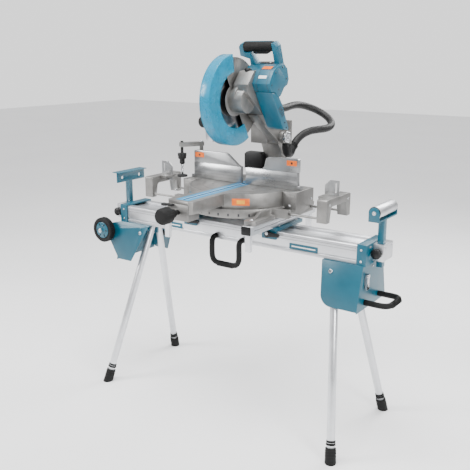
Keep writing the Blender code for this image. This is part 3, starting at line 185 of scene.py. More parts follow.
brushedX = surface("aluminium brushed along the beam", (0.58, 0.59, 0.61), (0.68, 0.69, 0.71), fine=90,
                   stretch=(0.6, 40, 40),
                   rough=(0.28, 0.42), bump=0.10, depth=0.0002, metal=0.85)
brushedY = surface("aluminium brushed across the stand", (0.58, 0.59, 0.61), (0.68, 0.69, 0.71), fine=90,
                   stretch=(40, 0.6, 40),
                   rough=(0.28, 0.42), bump=0.10, depth=0.0002, metal=0.85)
brushedZ = surface("aluminium leg tube", (0.60, 0.61, 0.63), (0.70, 0.71, 0.73), fine=90, stretch=(40, 40, 0.6),
                   rough=(0.26, 0.40), bump=0.08, depth=0.0002, metal=0.85)
castGrey = surface("cast aluminium", (0.205, 0.200, 0.192), (0.285, 0.280, 0.270), blotch=14, fine=420,
                   rough=(0.36, 0.56), bump=0.42,
                   depth=0.0005, metal=0.82, edge=(0.55, 0.55, 0.54), edgeShare=0.7, speck=0.25)
machined = surface("machined aluminium", (0.30, 0.305, 0.31), (0.38, 0.385, 0.39), blotch=10, fine=120,
                   stretch=(1, 30, 14),
                   rough=(0.24, 0.40), bump=0.12, depth=0.0002, metal=0.9, edge=(0.62, 0.62, 0.62), edgeShare=0.6)
brightSteel = surface("bright steel", (0.42, 0.42, 0.44), (0.54, 0.54, 0.56), blotch=16, fine=240,
                      stretch=(30, 1, 30),
                      rough=(0.12, 0.24), bump=0.05, depth=0.0002, metal=1.0)
boltSteel = surface("zinc plated bolts", (0.50, 0.51, 0.53), (0.66, 0.67, 0.69), blotch=120, fine=900,
                    rough=(0.2, 0.36),
                    bump=0.1, depth=0.0002, metal=1.0, edge=(0.85, 0.85, 0.86))
blackBolt = surface("black oxide bolts", (0.03, 0.03, 0.033), (0.055, 0.055, 0.06), blotch=120, fine=900,
                    rough=(0.3, 0.5),
                    bump=0.1, depth=0.0002, metal=0.8, edge=(0.25, 0.25, 0.25))
kerfBlue = surface("blue slot board", (0.0, 0.17, 0.36), (0.005, 0.23, 0.44), fine=600, rough=(0.34, 0.5), bump=0.14,
                   depth=0.0002,
                   edge=(0.10, 0.40, 0.58), edgeShare=0.4)
orangePatch = surface("orange patch", (0.72, 0.115, 0.0), (0.80, 0.15, 0.004), blotch=60, fine=900, rough=(0.3, 0.45),
                      bump=0.05,
                      depth=0.0001)
yellowPatch = surface("yellow patch", (0.80, 0.34, 0.01), (0.86, 0.42, 0.02), blotch=60, fine=900, rough=(0.3, 0.45),
                      bump=0.05,
                      depth=0.0001)
whitePatch = surface("pale plate", (0.78, 0.79, 0.80), (0.86, 0.87, 0.88), blotch=60, fine=900, rough=(0.3, 0.45),
                     bump=0.05,
                     depth=0.0001)
# near-black finish for printed scales, seams and lines, and also for painted shade: the dark fills in the motor's vent
# slits, the blade's slots, the table's holes and the detent notches
darkInkAndPaintedShade = surface("dark scale marks and painted shade", (0.02, 0.02, 0.022), (0.035, 0.035, 0.04), blotch=60, fine=900,
                  rough=(0.4, 0.55), bump=0.05,
                  depth=0.0001)


def clearTint(name, colour, rough, through, alpha):
    material, tree, shader = newFinish(name)
    broad = grain(tree, placeOn(tree), 22, 3)
    tone = blendColours(tree, ramp(tree, broad, 0.3, 0.7), colour, tuple(min(1, c * 1.18 + 0.01) for c in colour))
    tree.links.new(tone, shader.inputs["Base Color"])
    tree.links.new(ramp(tree, grain(tree, placeOn(tree), 320, 3), 0.3, 0.7, rough, rough + 0.08),
                   shader.inputs["Roughness"])
    shader.inputs["Transmission Weight"].default_value = through
    shader.inputs["IOR"].default_value = 1.32
    shader.inputs["Alpha"].default_value = alpha
    shader.inputs["Coat Weight"].default_value = 0.1
    shader.inputs["Coat Roughness"].default_value = 0.2
    return material


guardBlue = clearTint("clear blue guard", (0.0, 0.31, 0.50), 0.16, 0.45, 0.80)
guardRib = clearTint("guard ribs", (0.0, 0.13, 0.25), 0.12, 0.2, 0.95)
print("finishes made:", len(bpy.data.materials))


# one look for each carried solid: finish, edge width, edge steps

def smoothing(name, angle):
    tree = bpy.data.node_groups.new(name, "GeometryNodeTree")
    tree.interface.new_socket("Geometry", in_out="INPUT", socket_type="NodeSocketGeometry")
    tree.interface.new_socket("Geometry", in_out="OUTPUT", socket_type="NodeSocketGeometry")
    start, end = tree.nodes.new("NodeGroupInput"), tree.nodes.new("NodeGroupOutput")
    allFaces = tree.nodes.new("GeometryNodeSetShadeSmooth")
    bend = tree.nodes.new("GeometryNodeInputMeshEdgeAngle")
    sharp = tree.nodes.new("FunctionNodeCompare")
    sharp.operation = "GREATER_THAN"
    sharp.inputs[1].default_value = math.radians(angle)
    crease = tree.nodes.new("GeometryNodeSetShadeSmooth")
    crease.domain = "EDGE"
    crease.inputs["Shade Smooth"].default_value = False
    tree.links.new(start.outputs[0], allFaces.inputs[0])
    tree.links.new(allFaces.outputs[0], crease.inputs[0])
    tree.links.new(bend.outputs[0], sharp.inputs[0])
    tree.links.new(sharp.outputs[0], crease.inputs["Selection"])
    tree.links.new(crease.outputs[0], end.inputs[0])
    return tree


softShade = smoothing("smooth below 36 degrees", 36)


def soften(piece, width, steps=2):
    weld = piece.modifiers.new("weld", "WELD")
    weld.merge_threshold = 0.00001
    if width:
        edge = piece.modifiers.new("edge", "BEVEL")
        edge.width = width
        edge.segments = steps
        edge.limit_method = "ANGLE"
        edge.angle_limit = math.radians(36)
        edge.use_clamp_overlap = True
    shade = piece.modifiers.new("shade", "NODES")
    shade.node_group = softShade


solidLooks = {
    "beam": (brushedX, 0.0012), "extension_bar_right": (brushedX, 0.0012), "extension_bar_left": (brushedX, 0.0012),
    "crossbar_left": (brushedY, 0.0020), "crossbar_right": (brushedY, 0.0020),
    "leg_housing_right": (tealPowder, 0.0012), "leg_housing_left": (tealPowder, 0.0012),
    "saddle_left": (tealPowder, 0.0020), "saddle_right": (tealPowder, 0.0020),
    "roller_post": (tealPowder, 0.0012), "stop_post": (tealPowder, 0.0012),
    "leg_left_front": (brushedZ, 0.0004), "leg_left_rear": (brushedZ, 0.0004),
    "leg_right_front": (brushedZ, 0.0004), "leg_right_rear": (brushedZ, 0.0004),
    "roller": (brushedY, 0.0010), "leg_release_lever": (brightSteel, 0.0005),
    "foot_left_front": (blackRubber, 0.0014), "foot_left_rear": (blackRubber, 0.0014),
    "foot_right_front": (blackRubber, 0.0014), "foot_right_rear": (blackRubber, 0.0014),
    "wheel_front": (blackRubber, 0.0012), "wheel_rear": (blackRubber, 0.0012),
    "carry_handle": (blackRubber, 0.0012), "tow_handle": (blackRubber, 0.0012),
    "bracket_lever_left": (blackMoulded, 0.0012), "bracket_lever_right": (blackMoulded, 0.0012),
    "post_knob_left": (blackMoulded, 0.0012), "post_knob_right": (blackMoulded, 0.0012),
    "saw_base": (castGrey, 0.0018), "turntable": (castGrey, 0.0016),
    "wing_left": (castGrey, 0.0018), "wing_right": (castGrey, 0.0018),
    "stop_plate_left": (machined, 0.0006), "stop_plate_right": (machined, 0.0006),
    "fence_left": (machined, 0.0012), "fence_right": (machined, 0.0012),
    "upper_fence_left": (machined, 0.0014), "upper_fence_right": (machined, 0.0014),
    "vise_arm": (castGrey, 0.0014), "vise_screw": (blackMoulded, 0.0008),
    "kerf_board": (kerfBlue, 0.0006), "detent_lever": (blackMoulded, 0.0010),
    "mitre_grip": (blackRubber, 0.0016), "bevel_arm": (castGrey, 0.0030), "dust_hood": (blackMoulded, 0.0020),
    "slide_rails": (brightSteel, 0.0008), "bevel_knob": (blackRubber, 0.0012),
    "carriage": (castGrey, 0.0024), "pivot_pin": (brightSteel, 0.0008), "hose_elbow": (blackMoulded, 0.0008),
    "gear_case": (castGrey, 0.0024), "blade_case": (castGrey, 0.0016), "motor_housing": (tealShell, 0.0040),
    "battery_housing": (tealShell, 0.0050), "handle_grip": (blackRubber, 0.0012), "trigger": (blackMoulded, 0.0016),
    "lower_guard": (guardBlue, 0.0008),
}
for name, (finish, width) in solidLooks.items():
    nodes[name].data.materials.clear()
    nodes[name].data.materials.append(finish)
    soften(nodes[name], width, 3 if width > 0.0035 else 2)
print("solids finished:", len(solidLooks))


# mesh helpers for the added pieces

def piece(name, vertices, faces, finish, body, slot=None, width=0.0):
    mesh = bpy.data.meshes.new(name)
    mesh.from_pydata([tuple(v) for v in vertices], [], faces)
    mesh.validate()
    thing = bpy.data.objects.new(name, mesh)
    bpy.context.scene.collection.objects.link(thing)
    shape = bmesh.new()
    shape.from_mesh(mesh)
    bmesh.ops.recalc_face_normals(shape, faces=shape.faces)
    shape.to_mesh(mesh)
    shape.free()
    mesh.materials.append(finish)
    soften(thing, width)
    if body:
        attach(thing, body)
    return thing


class Parts:
    # collects several closed shapes that become one piece
    def __init__(self):
        self.vertices, self.faces = [], []

    def add(self, vertices, faces):
        start = len(self.vertices)
        self.vertices += [Vector(v) for v in vertices]
        self.faces += [tuple(i + start for i in face) for face in faces]

    def turned(self, origin, axis, profile, sides=24, wave=0.0, lobes=0):
        # a profile of (radius, height) points turned about an axis; lobes make a star knob
        axis = Vector(axis).normalized()
        across = axis.orthogonal().normalized()
        other = axis.cross(across)
        rings = []
        for radius, height in profile:
            ring = []
            for step in range(sides):
                angle = math.tau * step / sides
                out = radius * (1 + wave * math.cos(lobes * angle)) if lobes else radius
                ring.append(Vector(origin) + axis * height
                            + (across * math.cos(angle) + other * math.sin(angle)) * out)
            rings.append(ring)
        vertices = [v for ring in rings for v in ring]
        faces = []
        for level in range(len(profile) - 1):
            for step in range(sides):
                a, b = level * sides + step, level * sides + (step + 1) % sides
                faces.append((a, b, b + sides, a + sides))
        faces.append(tuple(range(sides - 1, -1, -1)))
        faces.append(tuple(range((len(profile) - 1) * sides, len(profile) * sides)))
        self.add(vertices, faces)
        return self

    def slab(self, outline, thickness, spot, across, up):
        # a flat outline of (u, v) points, given thickness along its normal
        across, up = Vector(across).normalized(), Vector(up).normalized()
        out = across.cross(up)
        count = len(outline)
        near = [Vector(spot) + across * u + up * v for u, v in outline]
        far = [v + out * thickness for v in near]
        sides = [(i, (i + 1) % count, (i + 1) % count + count, i + count) for i in range(count)]
        self.add(near + far, [tuple(range(count - 1, -1, -1)), tuple(range(count, 2 * count))] + sides)
        return self

    def block(self, low, high, matrix=None):
        corners = [Vector((x, y, z)) for x in (low[0], high[0]) for y in (low[1], high[1]) for z in (low[2], high[2])]
        if matrix:
            corners = [matrix @ corner for corner in corners]
        self.add(corners, [(0, 1, 3, 2), (4, 6, 7, 5), (0, 4, 5, 1), (2, 3, 7, 6), (0, 2, 6, 4), (1, 5, 7, 3)])

    def tube(self, path, radius, sides=10):
        path = [Vector(p) for p in path]
        rings, reference = [], None
        for index, point in enumerate(path):
            ahead = (path[min(index + 1, len(path) - 1)] - path[max(index - 1, 0)]).normalized()
            if reference is None:
                reference = ahead.orthogonal().normalized()
            reference = (reference - ahead * reference.dot(ahead)).normalized()
            other = ahead.cross(reference)
            size = radius(index) if callable(radius) else radius
            rings.append([point + (reference * math.cos(t) + other * math.sin(t)) * size
                          for t in (math.tau * s / sides for s in range(sides))])
        vertices = [v for ring in rings for v in ring]
        faces = []
        for level in range(len(path) - 1):
            for step in range(sides):
                a, b = level * sides + step, level * sides + (step + 1) % sides
                faces.append((a, b, b + sides, a + sides))
        faces.append(tuple(range(sides - 1, -1, -1)))
        faces.append(tuple(range((len(path) - 1) * sides, len(path) * sides)))
        self.add(vertices, faces)
        return self

    def made(self, name, finish, body, slot=None, width=0.0):
        return piece(name, self.vertices, self.faces, finish, body, slot, width)


def roundedPatch(width, height, corner, steps=5):
    outline = []
    for sx, sy, start in ((1, 1, 0), (-1, 1, 90), (-1, -1, 180), (1, -1, 270)):
        for step in range(steps + 1):
            angle = math.radians(start + 90 * step / steps)
            outline.append((sx * (width / 2 - corner) + corner * math.cos(angle),
                            sy * (height / 2 - corner) + corner * math.sin(angle)))
    return outline


def dash(length, width):
    return [(-length / 2, -width / 2), (length / 2, -width / 2), (length / 2, width / 2), (-length / 2, width / 2)]


def circle(centre, across, other, radius, steps):
    turns = [math.tau * i / steps for i in range(steps + 1)]
    return [Vector(centre) + (Vector(across) * math.cos(t) + Vector(other) * math.sin(t)) * radius for t in turns]


def capScrew(parts, spot, axis, radius=0.004, height=0.003):
    # a socket head screw with its six-sided hole
    axis = Vector(axis).normalized()
    parts.turned(Vector(spot) - axis * 0.001, axis, [
        (radius, 0), (radius, height + 0.0004), (radius * 0.86, height + 0.001), (radius * 0.52, height + 0.001),
        (radius * 0.50, height - 0.0012), (radius * 0.08, height - 0.0014)], 18)


def hexBolt(parts, spot, axis, radius=0.006, height=0.004):
    # a washer with a six-sided head on it
    axis = Vector(axis).normalized()
    parts.turned(Vector(spot) - axis * 0.001, axis, [(radius * 1.45, 0), (radius * 1.45, 0.0020),
                                                     (radius * 1.38, 0.0022), (radius * 0.5, 0.0022)], 24)
    parts.turned(Vector(spot), axis, [(radius * 0.96, 0.0008), (radius, 0.0014), (radius, height),
                                      (radius * 0.86, height + 0.0008), (radius * 0.2, height + 0.0009)], 6)


def rivet(parts, spot, axis, radius=0.003):
    axis = Vector(axis).normalized()
    parts.turned(Vector(spot) - axis * 0.0008, axis, [(radius, 0), (radius, 0.0010), (radius * 0.85, 0.0019),
                                                      (radius * 0.5, 0.0025), (radius * 0.1, 0.0027)], 14)


# camera, floor and light

view = {"azimuth": 35.0, "elevation": 15.0, "distance": 2.72, "lens": 52.0, "aim": (0.012, 0.05, 0.720)}


def setCamera():
    turn, lift = math.radians(view["azimuth"]), math.radians(view["elevation"])
    back = Vector((math.sin(turn) * math.cos(lift), -math.cos(turn) * math.cos(lift), math.sin(lift)))
    lens = bpy.data.cameras.new("camera")
    lens.lens, lens.sensor_width = view["lens"], 36.0
    camera = bpy.data.objects.new("camera", lens)
    camera.location = Vector(view["aim"]) + back * view["distance"]
    camera.rotation_mode = "QUATERNION"
    camera.rotation_quaternion = (-back).to_track_quat("-Z", "Y")
    bpy.context.scene.collection.objects.link(camera)
    bpy.context.scene.camera = camera


studio = {"sky": 1.5, "sides": 0.40, "low": 0.8, "seen": 1.5, "lamps": [
    # place, size, power
    ((-2.4, -2.2, 2.4), 1.2, 125), ((2.8, -1.2, 1.6), 0.9, 60), ((0.6, 2.6, 2.6), 1.6, 85),
    ((0.1, -0.4, 3.4), 1.6, 95)]}


def lightUp():
    # pale above, greyer round the sides so that bare metal has something to mirror
    world = bpy.data.worlds.new("studio")
    world.use_nodes = True
    tree = world.node_tree
    spot = tree.nodes.new("ShaderNodeTexCoord")
    split = tree.nodes.new("ShaderNodeSeparateXYZ")
    tree.links.new(spot.outputs["Generated"], split.inputs[0])
    band = tree.nodes.new("ShaderNodeValToRGB")
    band.color_ramp.elements[0].position = 0.0
    band.color_ramp.elements[0].color = (studio["low"],) * 3 + (1,)
    band.color_ramp.elements[1].position = 1.0
    band.color_ramp.elements[1].color = (studio["sky"],) * 3 + (1,)
    for place, level in ((0.46, studio["sides"]), (0.60, studio["sides"] * 0.7), (0.74, studio["sky"] * 0.9)):
        stop = band.color_ramp.elements.new(place)
        stop.color = (level, level, level * 1.02, 1)
    height = tree.nodes.new("ShaderNodeMapRange")
    height.inputs[1].default_value, height.inputs[2].default_value = -1.0, 1.0
    tree.links.new(split.outputs[2], height.inputs[0])
    tree.links.new(height.outputs[0], band.inputs[0])
    ray = tree.nodes.new("ShaderNodeLightPath")
    plain = tree.nodes.new("ShaderNodeMix")
    plain.data_type = "RGBA"
    plain.inputs[7].default_value = (studio["seen"],) * 3 + (1,)
    tree.links.new(ray.outputs["Is Camera Ray"], plain.inputs[0])
    tree.links.new(band.outputs[0], plain.inputs[6])
    tree.links.new(plain.outputs[2], tree.nodes["Background"].inputs["Color"])
    bpy.context.scene.world = world
    for index, (place, size, power) in enumerate(studio["lamps"]):
        data = bpy.data.lights.new(f"lamp{index}", "AREA")
        data.size, data.energy = size, power
        lamp = bpy.data.objects.new(f"lamp{index}", data)
        lamp.location = place
        lamp.rotation_mode = "QUATERNION"
        lamp.rotation_quaternion = (Vector((0, 0, 0.8)) - Vector(place)).to_track_quat("-Z", "Y")
        bpy.context.scene.collection.objects.link(lamp)


def layFloor():
    size = 14.0
    floor = piece("floor", [(-size, -size, 0), (size, -size, 0), (size, size, 0), (-size, size, 0)], [(0, 1, 2, 3)],
                  surface("pale floor", (0.86, 0.86, 0.86), (0.88, 0.88, 0.88), blotch=1.2, fine=60,
                          rough=(0.55, 0.7), bump=0.02), None)


setCamera()
lightUp()
layFloor()
print("camera, light and floor set")


# dust hose

hose = {"radius": 0.0160, "ribPitch": 0.0060, "ribDepth": 0.0006, "sides": 24, "route": [
    # route points from the saw's own corner: elbow, back loop, over to the outlet behind the blade
    (0.075, 0.268, 0.134), (0.0789, 0.2943, 0.1551), (0.0905, 0.3204, 0.1731), (0.1098, 0.3454, 0.185),
    (0.1307, 0.3716, 0.1895), (0.1451, 0.4021, 0.1913), (0.1497, 0.4353, 0.1952), (0.1436, 0.4675, 0.2028),
    (0.1271, 0.4945, 0.2142), (0.1024, 0.5124, 0.2284), (0.0732, 0.5182, 0.2439), (0.0439, 0.5111, 0.2588),
    (0.0189, 0.4923, 0.2712), (0.0015, 0.4647, 0.2797), (-0.007, 0.4323, 0.2836), (-0.008, 0.3985, 0.2837),
    (-0.0075, 0.3647, 0.2812), (-0.0054, 0.331, 0.2779), (-0.0033, 0.2972, 0.2775), (-0.0006, 0.2635, 0.2801),
    (0.0016, 0.2297, 0.2801), (0.0024, 0.1958, 0.2804), (0.004, 0.1619, 0.28), (0.004, 0.128, 0.28)]}


def smoothRoute(points, spacing):
    points = [Vector(p) for p in points]
    ends = [2 * points[0] - points[1]] + points + [2 * points[-1] - points[-2]]
    fine = []
    for before, a, b, after in zip(ends, ends[1:], ends[2:], ends[3:]):
        for step in range(24):
            t = step / 24
            fine.append(0.5 * (2 * a + (b - before) * t + (2 * before - 5 * a + 4 * b - after) * t ** 2
                               + (3 * a - before - 3 * b + after) * t ** 3))
    fine.append(points[-1])
    length = [0.0]
    for a, b in zip(fine, fine[1:]):
        length.append(length[-1] + (b - a).length)
    count = max(2, round(length[-1] / spacing))
    even, index = [], 0
    for step in range(count + 1):
        target = length[-1] * step / count
        while index < len(fine) - 2 and length[index + 1] < target:
            index += 1
        share = (target - length[index]) / max(1e-9, length[index + 1] - length[index])
        even.append(fine[index].lerp(fine[index + 1], min(1.0, max(0.0, share))))
    return even


def makeHose():
    route = [onSaw(*p) for p in hose["route"]]
    path = smoothRoute(route, hose["ribPitch"] / 4)
    ribs = [0.0, 0.5, 1.0, 0.5]
    parts = Parts()
    parts.tube(path, lambda i: hose["radius"] - hose["ribDepth"] * (1 - ribs[i % 4]), hose["sides"])
    tube = parts.made("dustHose", hoseRubber, None, "hose_rubber")
    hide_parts("dust_hose")
    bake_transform(tube)


makeHose()
print("hose made")


# blade and its hub

bladeLook = {"radius": 0.1522, "teeth": 60, "gullet": 0.0075, "plate": 0.0020, "tip": 0.0026, "slots": 5}


def makeBlade():
    look = bladeLook
    centre = onHead(*arborInHead)
    up, front = headAxis(0, 0, 1), headAxis(0, -1, 0)

    def rim(radius, angle):
        return (radius * math.cos(angle), radius * math.sin(angle))

    outline, tips = [], Parts()
    step = math.tau / look["teeth"]
    for tooth in range(look["teeth"]):
        a = tooth * step
        outline += [rim(look["radius"] - 0.0006, a), rim(look["radius"] - 0.0022, a + step * 0.34),
                    rim(look["radius"] - look["gullet"], a + step * 0.62),
                    rim(look["radius"] - look["gullet"] * 0.9, a + step * 0.80),
                    rim(look["radius"] - 0.004, a + step * 0.90)]
        tip = [rim(look["radius"], a), rim(look["radius"] - 0.0012, a + step * 0.26),
               rim(look["radius"] - 0.005, a + step * 0.20),
               rim(look["radius"] - 0.005, a - step * 0.02)]
        tips.slab(tip, look["tip"], centre - headAxis(1, 0, 0) * look["tip"] / 2, front, up)
    # the slab's normal is front x up, along the axis
    disc = Parts()
    normal = front.cross(up)
    disc.slab(outline, look["plate"], centre - normal * look["plate"] / 2, front, up)
    axis = headAxis(1, 0, 0)
    disc.turned(centre, axis, [(0.010, 0.0355), (0.010, 0.006), (0.024, 0.0055), (0.024, 0.0010)][::-1], 32)
    disc.turned(centre, -axis, [(0.026, 0.0008), (0.026, 0.0040), (0.024, 0.0052), (0.014, 0.0056), (0.013, 0.0060)],
                32)
    blade = disc.made("toothedBlade", brightSteel, "blade", "bright_steel")
    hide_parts("blade")
    tips.made("carbideTips", boltSteel, "blade", "bright_steel")
    # thin near-black tubes along the expansion slots on both faces: painted shade in the narrow cuts
    slots = Parts()
    for slot in range(look["slots"]):
        angle = math.tau * slot / look["slots"] + 0.3
        path = [(r, angle + 0.10 * math.sin((r - 0.118) * 90)) for r in [0.112 + 0.0022 * i for i in range(15)]]
        for side in (-1, 1):
            slots.tube([centre + axis * side * (look["plate"] / 2) + (front * math.cos(t) + up * math.sin(t)) * r
                        for r, t in path], 0.0005, 6)
    slots.made("bladeSlotsPaintedShade", darkInkAndPaintedShade, "blade")
    star = Parts()
    star.turned(centre, -axis, [(0.019, 0.0062), (0.021, 0.0075), (0.021, 0.0105), (0.018, 0.0122), (0.010, 0.0124),
                                (0.009, 0.0110), (0.002, 0.0108)], 60, 0.13, 6)
    star.made("bladeHub", boltSteel, "blade", "bright_steel", 0.0004)


makeBlade()


# clear guard: ribs, rim beads and its dark stops

guardLook = {"left": -0.0225, "radii": (0.167, 0.150, 0.118, 0.066), "ribEvery": 17, "from": -157, "to": 39,
             "bead": 0.0016}


def guardPoint(radius, angle, x):
    turn = math.radians(angle)
    return onHead(arborInHead.x + x, arborInHead.y - radius * math.cos(turn), arborInHead.z + radius * math.sin(turn))


def makeGuardRibs():
    ribs, x = Parts(), guardLook["left"]
    first, last = guardLook["from"], guardLook["to"]
    for radius in guardLook["radii"]:
        bead = guardLook["bead"] * (1.25 if radius > 0.16 else 0.8)
        ribs.tube([guardPoint(radius, first + (last - first) * i / 44, x) for i in range(45)], bead, 8)
    angle = first + 5
    while angle < last:
        rib = [guardPoint(r, angle + (r - 0.12) * 60, x) for r in (0.118, 0.130, 0.142, 0.150, 0.167)]
        ribs.tube(rib, guardLook["bead"] * 0.7, 8)
        angle += guardLook["ribEvery"]
    ribs.made("guardRibs", guardRib, "lower_guard", "clear_blue_guard")
    ends = Parts()
    for angle in (last + 1.5, first - 1.5):
        ends.tube([guardPoint(r, angle, x + 0.0006) for r in (0.064, 0.090, 0.116, 0.142, 0.168)], 0.0026, 10)
    ends.made("guardEndStrips", blackRubber, "lower_guard", "black_rubber")
    ring = Parts()
    ring.tube([guardPoint(0.0415, i * 10, -0.0168) for i in range(37)], 0.0022, 8)
    ring.made("guardHubRing", boltSteel, "head", "bright_steel")
    screws = Parts()
    for angle in (35, 95, 155, 215, 275, 335):
        capScrew(screws, guardPoint(0.050, angle, -0.0160), headAxis(-1, 0, 0), 0.0032, 0.0022)
    screws.made("caseScrews", boltSteel, "head", "bright_steel", 0.0002)


makeGuardRibs()


# head: label plates, vents, seams and screws

headLook = {
    "side": 0.1219,  # outer face of the motor shell
    "vents": 7, "ventStep": 0.0085, "tailVents": 5, "tailVentStep": 0.009, "ventDepth": 0.0008,
    "seam": 0.0007, "seamsAt": (0.0640, 0.1090), "patch": 0.0008, "screw": 0.0034, "bolt": 0.0042,
    # outlines and places as (y, z) in the head's own frame
    "shell": [(-0.262, 0.0205), (-0.229, 0.088), (-0.236, 0.108), (-0.270, 0.130), (-0.300, 0.128),
              (-0.322, 0.100), (-0.340, 0.062), (-0.332, 0.008), (-0.300, -0.002)],
    "tail": [(-0.262, 0.0202), (-0.206, 0.010), (-0.112, -0.028)],
    "shellScrews": ((-0.268, 0.034), (-0.250, 0.098), (-0.300, 0.112), (-0.324, 0.066), (-0.316, 0.016),
                    (-0.200, -0.008), (-0.150, -0.030), (-0.128, -0.038)),
    "caseBolts": ((-0.210, 0.050), (-0.320, 0.048), (-0.338, -0.002), (-0.212, -0.022), (-0.275, 0.056)),
    "armBolts": ((-0.062, 0.004), (-0.150, 0.000), (-0.176, 0.018)),
    "armRib": [(-0.060, 0.0335), (-0.198, 0.0335), (-0.198, 0.0385), (-0.070, 0.0378)]}


def headSlab(outline, spot, thickness, across, up, parts=None):
    return (parts or Parts()).slab(outline, thickness, onHead(*spot), headAxis(*across), headAxis(*up))


def makeMotorDetails():
    look = headLook
    side, facing = look["side"], ((0, 1, 0), (0, 0, 1))
    # near-black slabs laid on the shell where the vent slits are: painted shade standing for the shaded openings
    vents = Parts()
    for row in range(look["vents"]):  # slits on the motor's round end
        slit = roundedPatch(0.0036, 0.052 - abs(row - 3) * 0.005, 0.0017)
        headSlab(slit, (side, -0.310 + row * look["ventStep"], 0.052), look["ventDepth"], *facing, vents)
    for row in range(look["tailVents"]):  # slits low on the tail's outer side
        spot = (side, -0.216 + row * look["tailVentStep"], -0.012 - row * 0.0012)
        headSlab(roundedPatch(0.0034, 0.026, 0.0016), spot, look["ventDepth"], (0, 1, 0), (0, 0.25, 1), vents)
    vents.made("motorVentsPaintedShade", darkInkAndPaintedShade, "head", "black_plastic")
    endPlate = headSlab(roundedPatch(0.086, 0.084, 0.020), (0.1216, -0.2845, 0.052), 0.0012, *facing)
    endPlate.made("motorEndPlate", tealShell, "head", "teal_plastic", 0.0005)
    seams = Parts()  # thin dark lines just proud of the shell
    for x in look["seamsAt"]:
        ring = [onHead(x, y0 + (y1 - y0) * i / 6, z0 + (z1 - z0) * i / 6)
                for (y0, z0), (y1, z1) in zip(look["shell"], look["shell"][1:]) for i in range(6)]
        seams.tube(ring + [onHead(x, *look["shell"][-1])], look["seam"], 6)
    for x in look["seamsAt"]:
        seams.tube([onHead(x, y, z) for y, z in look["tail"]], look["seam"], 6)
    seams.made("shellSeams", darkInkAndPaintedShade, "head", "black_plastic")
    screws = Parts()
    for y, z in look["shellScrews"]:
        capScrew(screws, onHead(side + 0.0003, y, z), headAxis(1, 0, 0), look["screw"], 0.0012)
    screws.made("shellScrews", blackBolt, "head", "black_plastic", 0.0002)
    orange = headSlab(roundedPatch(0.040, 0.022, 0.003), (0.084, -0.3317, 0.082), look["patch"], (1, 0, 0),
                      (0, 0.43, 0.90))
    orange.made("headOrangePatch", orangePatch, "head", "teal_plastic")
    pale = headSlab(roundedPatch(0.034, 0.012, 0.002), (0.084, -0.3365, 0.036), look["patch"], (1, 0, 0),
                    (0, -0.008, 0.054))
    pale.made("headPalePatch", whitePatch, "head", "teal_plastic")


def makeArmDetails():
    look = headLook
    panel = headSlab(roundedPatch(0.026, 0.110, 0.006), (0.006, -0.125, 0.0345), 0.0016, (1, 0, 0), (0, 1, 0))
    panel.made("armPanel", tealShell, "head", "teal_plastic", 0.0005)
    bolts = Parts()
    for y, z in look["caseBolts"]:
        capScrew(bolts, onHead(-0.0178, y, z), headAxis(-1, 0, 0), look["bolt"], 0.0030)
    for y, z in look["armBolts"]:
        capScrew(bolts, onHead(0.0262, y, z), headAxis(1, 0, 0), look["bolt"], 0.0030)
    for x in (-0.008, 0.020):
        capScrew(bolts, onHead(x, -0.075, 0.0336), headAxis(0, 0.03, 1), 0.0036, 0.0026)
    bolts.made("armBolts", boltSteel, "head", "bright_steel", 0.0002)
    ribs = Parts()
    for x in (-0.012, 0.0225):
        headSlab(look["armRib"], (x, 0, 0), 0.0022, (0, 1, 0), (0, 0, 1), ribs)
    ribs.made("armRibs", castGrey, "head", "cast_aluminium", 0.0006)
    caps = Parts()
    caps.turned(onHead(0.014, -0.345, 0.0595), headAxis(0, -0.75, 0.66),
                [(0.013, -0.004), (0.013, 0.004), (0.011, 0.0065), (0.005, 0.0072)])
    caps.turned(onHead(-0.045, -0.345, 0.085), headAxis(0, -0.30, 0.95),
                [(0.012, -0.004), (0.012, 0.006), (0.010, 0.008), (0.004, 0.0085)])
    caps.made("brushCaps", blackMoulded, "head", "black_plastic", 0.0004)
    onCase = arborInHead + Vector((-0.0162, 0.095, 0.060))
    headSlab(roundedPatch(0.040, 0.018, 0.002), onCase, 0.0006, (0, -1, 0), (0, 0, 1)).made("caseYellowPatch",
            yellowPatch, "head", "cast_aluminium")


makeMotorDetails()
makeArmDetails()


# handle: switch strip, stripe and grooves on the rubber

handleLook = {"at": (0.020, -0.309, 0.141), "tilt": -32, "gripY": -0.049, "gripRadius": 0.01855, "grooves": 17,
              "grooveStep": 0.0070,
              "groove": 0.00055, "stripe": 0.0016, "screw": 0.0030,
              "screws": ((-0.072, -0.050), (0.078, -0.050), (0.078, 0.000), (0.076, 0.046), (-0.060, -0.030))}
handleFrame = (headFrame @ Matrix.Translation(Vector(handleLook["at"]))
               @ Matrix.Rotation(math.radians(handleLook["tilt"]), 4, "X"))


def onHandle(x, y, z):
    return handleFrame @ Vector((x, y, z))


def handleAxis(x, y, z):
    return (handleFrame.to_3x3() @ Vector((x, y, z))).normalized()


